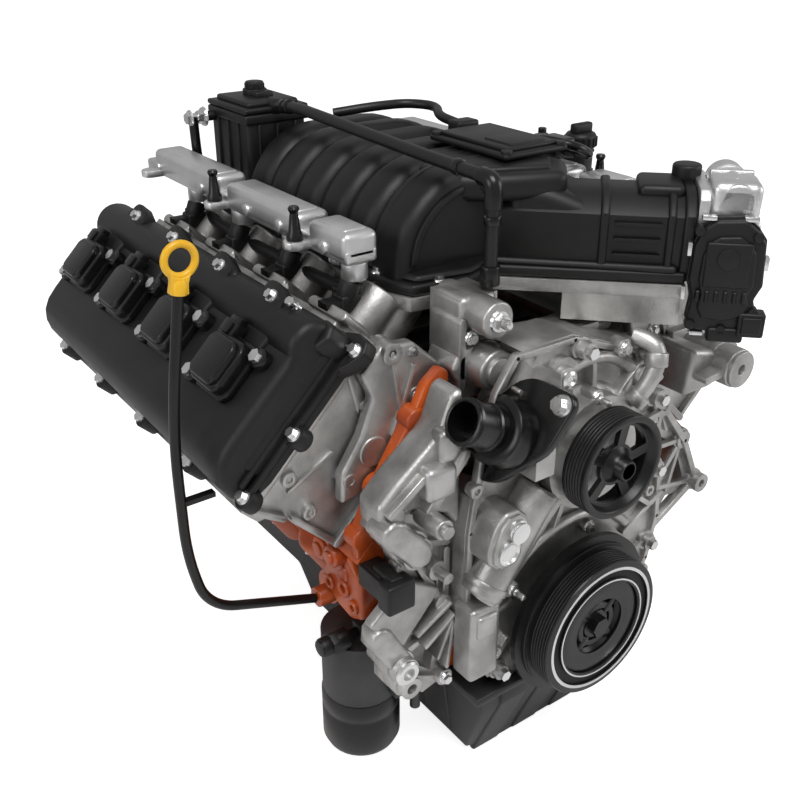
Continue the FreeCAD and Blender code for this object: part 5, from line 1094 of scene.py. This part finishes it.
arm = []
for start, end, width, front in (
        ((-203, 147), (-160, 60), 9, 545), ((-203, 147), (-216, 120), 8, 544),
        ((-206, 72), (-216, 8), 9, 546),
        ((-209, -18), (-160, -44), 8, 544), ((-216, 8), (-156, 30), 7, 544),
        ((-203, 147), (-152, 130), 7, 544), ((-170, 107), (-152, 84), 7, 543),
        ((-230, 176), (-203, 147), 9, 546), ((-236, 30), (-216, 8), 8, 546),
        ((-200, 186), (-168, 168), 8, 545), ((-152, 120), (-152, -44), 8, 543),
        ((-206, 100), (-160, 60), 7, 542)):
    arm.append(face_rib(start, end, width, -front, -532))
arm.append(rounded(rib((-230, 180), (-200, 144), 30, -566, -534, "xz"), 6, 4))
arm.append(rounded(rib((-222, 196), (-236, 176), 14, -560, -530, "xz"), 4, 3))
arm.append(rounded(plate([(-252, 74), (-214, 30), (-166, 84), (-208, 112)], -552, -538, "xz"), 3, 3))
arm.append(rounded(rib((-240, 56), (-206, -6), 26, -556, -534, "xz"), 5, 4))
for start, end in (((-150, 44), (-170, -2)), ((-150, 44), (-158, -20)), ((-150, 44), (-186, 20)),
                   ((-156, 62), (-196, 40))):
    arm.append(face_rib(start, end, 4.5, -556, -534, 1.4))
for x, z, radius, reach in ((-203, 147, 20, 552), (-216, 8, 18, 551), (-209, -18, 15, 552),
                            (-170, 107, 11, 552), (-228, 178, 11, 550), (-160, 60, 10, 549),
                            (-156, -40, 10, 550)):
    arm.append(collar(x, z, radius, -reach, -530))
goes_with(joined("bracket_webs_right", *arm), "compressor_bracket", "cast_aluminium")
ends = [screw((-228, -550, 178), FORWARD, 5.6, 6), screw((-156, -550, -40), FORWARD, 5.6, 6)]
bush = turned([(7, 0), (14, 0), (14, 3), (12, 4.4), (7, 4.4)], (-216, -562, 8), (-216, -570, 8), ENGINE, 36)
goes_with(joined("bracket_screws", *ends, bush), "compressor_bracket", "bright_steel")

x, z = 211, 240
long_boss = [front_bar(x, z, 22.5, -516, -596, 2.4, 3, 48),
             front_bar(x, z, 24, -560, -572, 1.6, 2, 48),
             rounded(plate([(150, 214), (196, 214), (208, 226), (196, 258), (158, 268)], -575, -512,
                           "xz"), 6, 3),
             rounded(plate([(-516, 222), (-590, 232), (-590, 248), (-516, 262)], 206, 216, "yz"), 3, 2),
             rounded(rib((166, 236), (204, 240), 10, -592, -520, "xz"), 3, 2)]
cut(long_boss[0], bar((x, -560, z), (x, -604, z), 6.2, ENGINE, 32))
goes_with(joined("long_boss", *long_boss), "alternator_bracket", "cast_aluminium")
cap = turned([(7, 0), (16, 0), (16, 2.6), (13, 3.6), (7, 3.6)], (x, -596, z), (x, -606, z), ENGINE, 48)
goes_with(smooth(cap, 30), "alternator_bracket", "bright_steel").name = "long_boss_face"
print("brackets ready")

# %% [markdown]
# The lower front carries the damper, the pulley, the oil filter and the pan. Silver rings on the
# damper's face give the eye its scale, and lighter grey rings on the ridges round both wheels are
# painted highlights where light would catch them. The pan has broad flutes down its sides.

# %% Damper rings, pulley, filter, pan and sensors
def thin_ring(inner, outer, thick, front, toward):
    """A thin ring round the crank's axis, laid from one level toward another."""
    edge = [(inner, 0), (outer, 0), (outer, thick), (inner, thick)]
    return smooth(turned(edge, (0, front, 0), (0, toward, 0), ENGINE, 96), 30)


rings = [thin_ring(71.2, 74.6, 1.2, -622.4, -624), thin_ring(58.8, 60.6, 1.2, -622.6, -624)]
# lighter grey rings laid on the damper's ridges are painted highlights where light would catch them
damper_highlights = [thin_ring(78, 82.1, 0.7, -619.4 + step*3.56, -580) for step in range(6)]
goes_with(joined("damper_ridge_highlights", *damper_highlights), "damper_ring", "grey_casting")
goes_with(joined("damper_rings", *rings), "damper_ring", "bright_steel")
hub = [smooth(turned([(34, 0), (52, 0), (53, -3), (56, -3), (56, 2.4), (50, 3.4), (40, 2.4), (34, 2.4)],
                     (0, -617, 0), (0, -624, 0), ENGINE, 72), 40),
       smooth(turned([(19, -12), (26, -12), (28, 1), (26, 3), (20, 3), (19, 1)], (0, -612, 0), (0, -620, 0),
                     ENGINE, 64), 40)]
for step in range(4):
    turn = math.radians(45 + 90*step)
    start, end = [(reach*math.cos(turn), reach*math.sin(turn)) for reach in (20, 50)]
    hub.append(rounded(rib(start, end, 9, -616, -598, "xz"), 2, 2))
goes_with(joined("damper_face", *hub), "damper_hub", "black_paint")

groove = [(55.6, 3)]
for step in range(6):
    groove += [(52.9, 5 + step*3.6), (52.9, 5.5 + step*3.6), (55.4, 7.2 + step*3.6), (55.4, 7.7 + step*3.6)]
rim = [(12, 10), (45, 9), (47.6, 2), (49, 0), (55, 0), (55.6, 0.8)] + groove
rim += [(55.6, 26.8), (55.6, 29), (48.6, 29), (48.6, 15), (12, 15)]
wheel = turned(rim, (0, -627, PUMP_Z), (0, -598, PUMP_Z), ENGINE, 96)
for step in range(5):
    first = 72*step + 12
    window = ring_edge((0, PUMP_Z), 42.5, first + 4, first + 60, 8)
    window += ring_edge((0, PUMP_Z), 22.5, first + 54, first + 10, 6)
    cut(wheel, plate(window, -632, -600, "xz"))
wheel = rounded(wheel, 0.5, 1, 40)
nave = smooth(turned([(0, 0), (10, 0), (11.5, 2), (12, 9), (15, 13), (21, 18), (21, 22), (0, 22)],
                     (0, -634, PUMP_Z), (0, -610, PUMP_Z), ENGINE, 48), 40)
stands_for(joined("drive_pulley", wheel, nave), "water_pump_pulley")
# grey rings laid on the pulley's ridge crests are painted highlights where light would catch them
pulley_highlights = []
for step in range(6):
    pulley_highlights.append(smooth(turned([(52, -0.32), (55.58, -0.32), (55.58, 0.32), (52, 0.32)],
                                (0, -621.3 + step*3.6, PUMP_Z), (0, -600, PUMP_Z), ENGINE, 80), 30))
goes_with(joined("pulley_ridge_highlights", *pulley_highlights), "water_pump_pulley", "grey_casting")

can = turned([(0, -77), (34, -77), (41, -74), (44.6, -66), (44.6, -28), (43.6, -26), (43.6, -22),
              (44.6, -20), (44.6, -4), (43, 0), (0, 0)], (-200, -452, -94.3), (-200, -452, 0), ENGINE, 80)
stands_for(smooth(can, 40), "oil_filter").name = "filter_can"

pan = []
for x in (-62, 0, 62):
    slope = [(-560.5, -92), (-561, -112), (-516.5, -221), (-508, -221), (-552, -100)]
    pan.append(rounded(plate(slope, x - 20, x + 20, "yz"), 2.6, 3, 20))
for y in (-470, -390, -310, -235):
    for sign in (-1, 1):
        web = [(sign*115, -88), (sign*114, -104), (sign*100.4, -197), (sign*92, -197), (sign*102, -92)]
        pan.append(rounded(plate(web, y - 24, y + 24, "xz"), 2.6, 3, 20))
for sign in (-1, 1):
    pan.append(rounded(rib((sign*58, -508), (sign*58, -200), 5, -225, -221), 1.2, 1))
pan.append(rounded(rib((-58, -510), (58, -510), 5, -225, -220), 1.2, 1))
goes_with(joined("pan_ribs", *pan), "oil_pan", "grey_paint")
rail_screws = []
for sign in (-1, 1):
    for y in (-548, -525):
        rail_screws.append(screw((sign*(60 if y < -540 else 100), y, -83.5), (0, 0, -1), 5, 6))
goes_with(joined("pan_front_screws", *rail_screws), "oil_pan", "bright_steel")

sensor = [rounded(bar((-236, -472, -1), (-252, -472, -1), 13.5, ENGINE, 6), 1.4),
          rounded(bar((-250, -472, -1), (-262, -472, -1), 10.5, ENGINE, 32), 1.4),
          rounded_box((-262, -480, -8), (-246, -464, 6), 2)]
goes_with(joined("sensor_plug", *sensor), "oil_pressure_sensor", "black_moulding")
pick_up = [rounded_box((-243, -570.5, 94), (-211, -550, 127), 3.4, ENGINE, 3),
           rounded_box((-238, -546, 97), (-214, -514, 123), 5, ENGINE, 3),
           rounded_box((-234, -562, 120), (-220, -530, 129), 2)]
goes_with(joined("sensor_shell", *pick_up), "cam_sensor", "black_moulding")

# the hose neck is drawn on its own slanted axis, with its flange at 0
NECK = Matrix.Translation((-0.100, -0.576, 0.250)) @ Matrix.Rotation(math.radians(-62.2), 4, "Y")


def on_neck(profile, steps=64):
    """A turned form on the hose neck's axis."""
    return turned(profile, (0, 0, 0), (0, 0, 10), NECK, steps)


flange = hull([(46, -44, 13), (-46, 44, 13), (18, -12, 40), (-16, 14, 38)])
pads = rounded(plate(flange, 0, 9, "xy", NECK), 1.6, 3, 30)
tube = on_neck([(18.5, 0), (32, 0), (32, 32), (21.5, 34), (21.5, 74), (20, 74.6), (18.5, 74)], 72)
stands_for(joined("neck_housing", pads, smooth(tube, 40)), "thermostat_housing")
neck = [on_neck([(19, z), (21.8, z), (23.2, z + 1.6), (23.2, z + 3.4), (21.8, z + 5), (19, z + 5)])
        for z in (40, 66)]
neck.append(on_neck([(24, 6), (35, 6), (35, 20), (33.4, 24), (33.4, 31), (30, 33.6), (24, 33.6)]))
goes_with(smooth(joined("neck_beads", *neck), 40), "thermostat_housing", "black_gloss")
ears = [screw((46, -44, 9), UP, 8, 9, NECK), screw((-46, 44, 9), UP, 8, 9, NECK)]
goes_with(joined("neck_screws", *ears), "front_bolts", "bright_steel")

solenoid = turned([(0, 0), (11, 0), (11, 3.4), (9, 4.4), (7.6, 2.2), (3.4, 2.2), (2.6, 5), (0, 5)],
                  (-113, -600, 161), (-113, -610, 161), ENGINE, 40)
goes_with(joined("peanut_caps", solenoid), "timing_cover", "bright_steel")
print("lower front ready")

# %% [markdown]
# The yellow pull ring is what the eye finds first. It is drawn along the stick's own line, with a yoke
# and a stopper below it and the blade that goes down the tube.

# %% The dipstick's pull ring
top = Vector((-364, -440, 408))
way = (top - Vector((-383, -440, 285))).normalized()
seat = top + way*0.3
clear_selection()
bpy.ops.mesh.primitive_torus_add(major_segments=64, minor_segments=20, major_radius=0.0138,
                                 minor_radius=0.0034)
loop = bpy.context.object
turn = Vector((0, 1, 0)).to_track_quat("Z", "Y").to_matrix().to_4x4()
moved(loop, Matrix.Translation((seat + way*29)*MM) @ turn)
smooth(loop, 60)
across_way = Vector((way.z, 0, -way.x))


def on_stick(across, along):
    """A point beside the stick's line, as across and up."""
    point = seat + way*along + across_way*across
    return point.x, point.z


yoke = rounded(plate([on_stick(-8.4, 0), on_stick(-7.6, 10), on_stick(-9.5, 19.5), on_stick(-6, 16),
                      on_stick(0, 14.4), on_stick(6, 16), on_stick(9.5, 19.5), on_stick(7.6, 10),
                      on_stick(8.4, 0)], -444.5, -435.5, "xz"), 2, 3)
stop = turned([(0, 0), (7.4, 0), (7.8, 2), (7.8, 9), (6, 13), (0, 13)], seat, seat + way*13, ENGINE, 40)
blade = bar(seat + way*14, top - way*62, 1.9, ENGINE, 16)
stands_for(joined("pull_ring", loop, yoke, smooth(stop, 40), blade), "dipstick")
print("pull ring ready")

# %% [markdown]
# The floor is a wide pale sheet just under the oil pan, and the light is one big soft source over
# the engine with a weaker one at each side. The world is white to the camera alone. It is dim in
# reflections and dimmer still as a light, so that the black mouldings stay black.

# %% Floor, lights and camera
low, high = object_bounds()
clear_selection()
bpy.ops.mesh.primitive_plane_add(size=60, location=(0, 0, low.z - 0.002))
floor = bpy.context.object
bpy.ops.object.transform_apply(location=True)
floor.name = "studio_floor"
paper = Finish("pale paper")
paper.shader.inputs["Base Color"].default_value = colour(0.90)
paper.shader.inputs["Roughness"].default_value = 0.9
seen = paper.node("ShaderNodeLightPath", "Is Camera Ray")
paper.shader.inputs["Emission Color"].default_value = colour(1.0)
paper.feed(paper.shader.inputs["Emission Strength"], seen*0.80)
floor.data.materials.append(paper.material)


def soft_lamp(name, at, size, power):
    """A round lamp, aimed near the middle of the engine."""
    clear_selection()
    bpy.ops.object.light_add(type="AREA", location=at)
    lamp = bpy.context.object
    lamp.name = name
    lamp.data.shape = "DISK"
    lamp.data.size = size
    lamp.data.energy = power
    lamp.rotation_euler = (Vector((0, -0.3, 0.1)) - Vector(at)).to_track_quat("-Z", "Y").to_euler()


soft_lamp("key", (-0.6, -1.6, 2.6), 1.6, 52)
soft_lamp("left_fill", (-2.6, -0.6, 1.2), 1.4, 16)
soft_lamp("right_fill", (2.2, -2.0, 1.0), 1.4, 16)

WORLD_LIGHT = 0.32
WORLD_SHINE = 0.44
world = bpy.data.worlds.new("studio")
bpy.context.scene.world = world
world.use_nodes = True
sky = world.node_tree
paths = sky.nodes.new("ShaderNodeLightPath")
scale = sky.nodes.new("ShaderNodeMath")
scale.operation = "MULTIPLY_ADD"
sky.links.new(paths.outputs["Is Glossy Ray"], scale.inputs[0])
shine = sky.nodes.new("ShaderNodeMath")
shine.operation = "MAXIMUM"
sky.links.new(scale.outputs[0], shine.inputs[0])
sky.links.new(paths.outputs["Is Camera Ray"], shine.inputs[1])
scale.inputs[1].default_value = WORLD_SHINE - WORLD_LIGHT
scale.inputs[2].default_value = WORLD_LIGHT
sky.nodes["Background"].inputs["Color"].default_value = colour(1.0)
sky.links.new(shine.outputs[0], sky.nodes["Background"].inputs["Strength"])

look = Vector((0.5225, 0.7213, -0.4547))
clear_selection()
bpy.ops.object.camera_add(location=(-0.66917, -1.1761, 0.70506))
camera = bpy.context.object
camera.name = "camera"
camera.rotation_euler = look.to_track_quat("-Z", "Y").to_euler()
camera.data.lens = 44.63
camera.data.sensor_width = 36
camera.data.clip_end = 60
scene = bpy.context.scene
scene.camera = camera
scene.render.engine = "CYCLES"
scene.render.resolution_x = 800
scene.render.resolution_y = 800
scene.view_settings.view_transform = "Standard"
print("camera", tuple(round(v, 3) for v in camera.location))
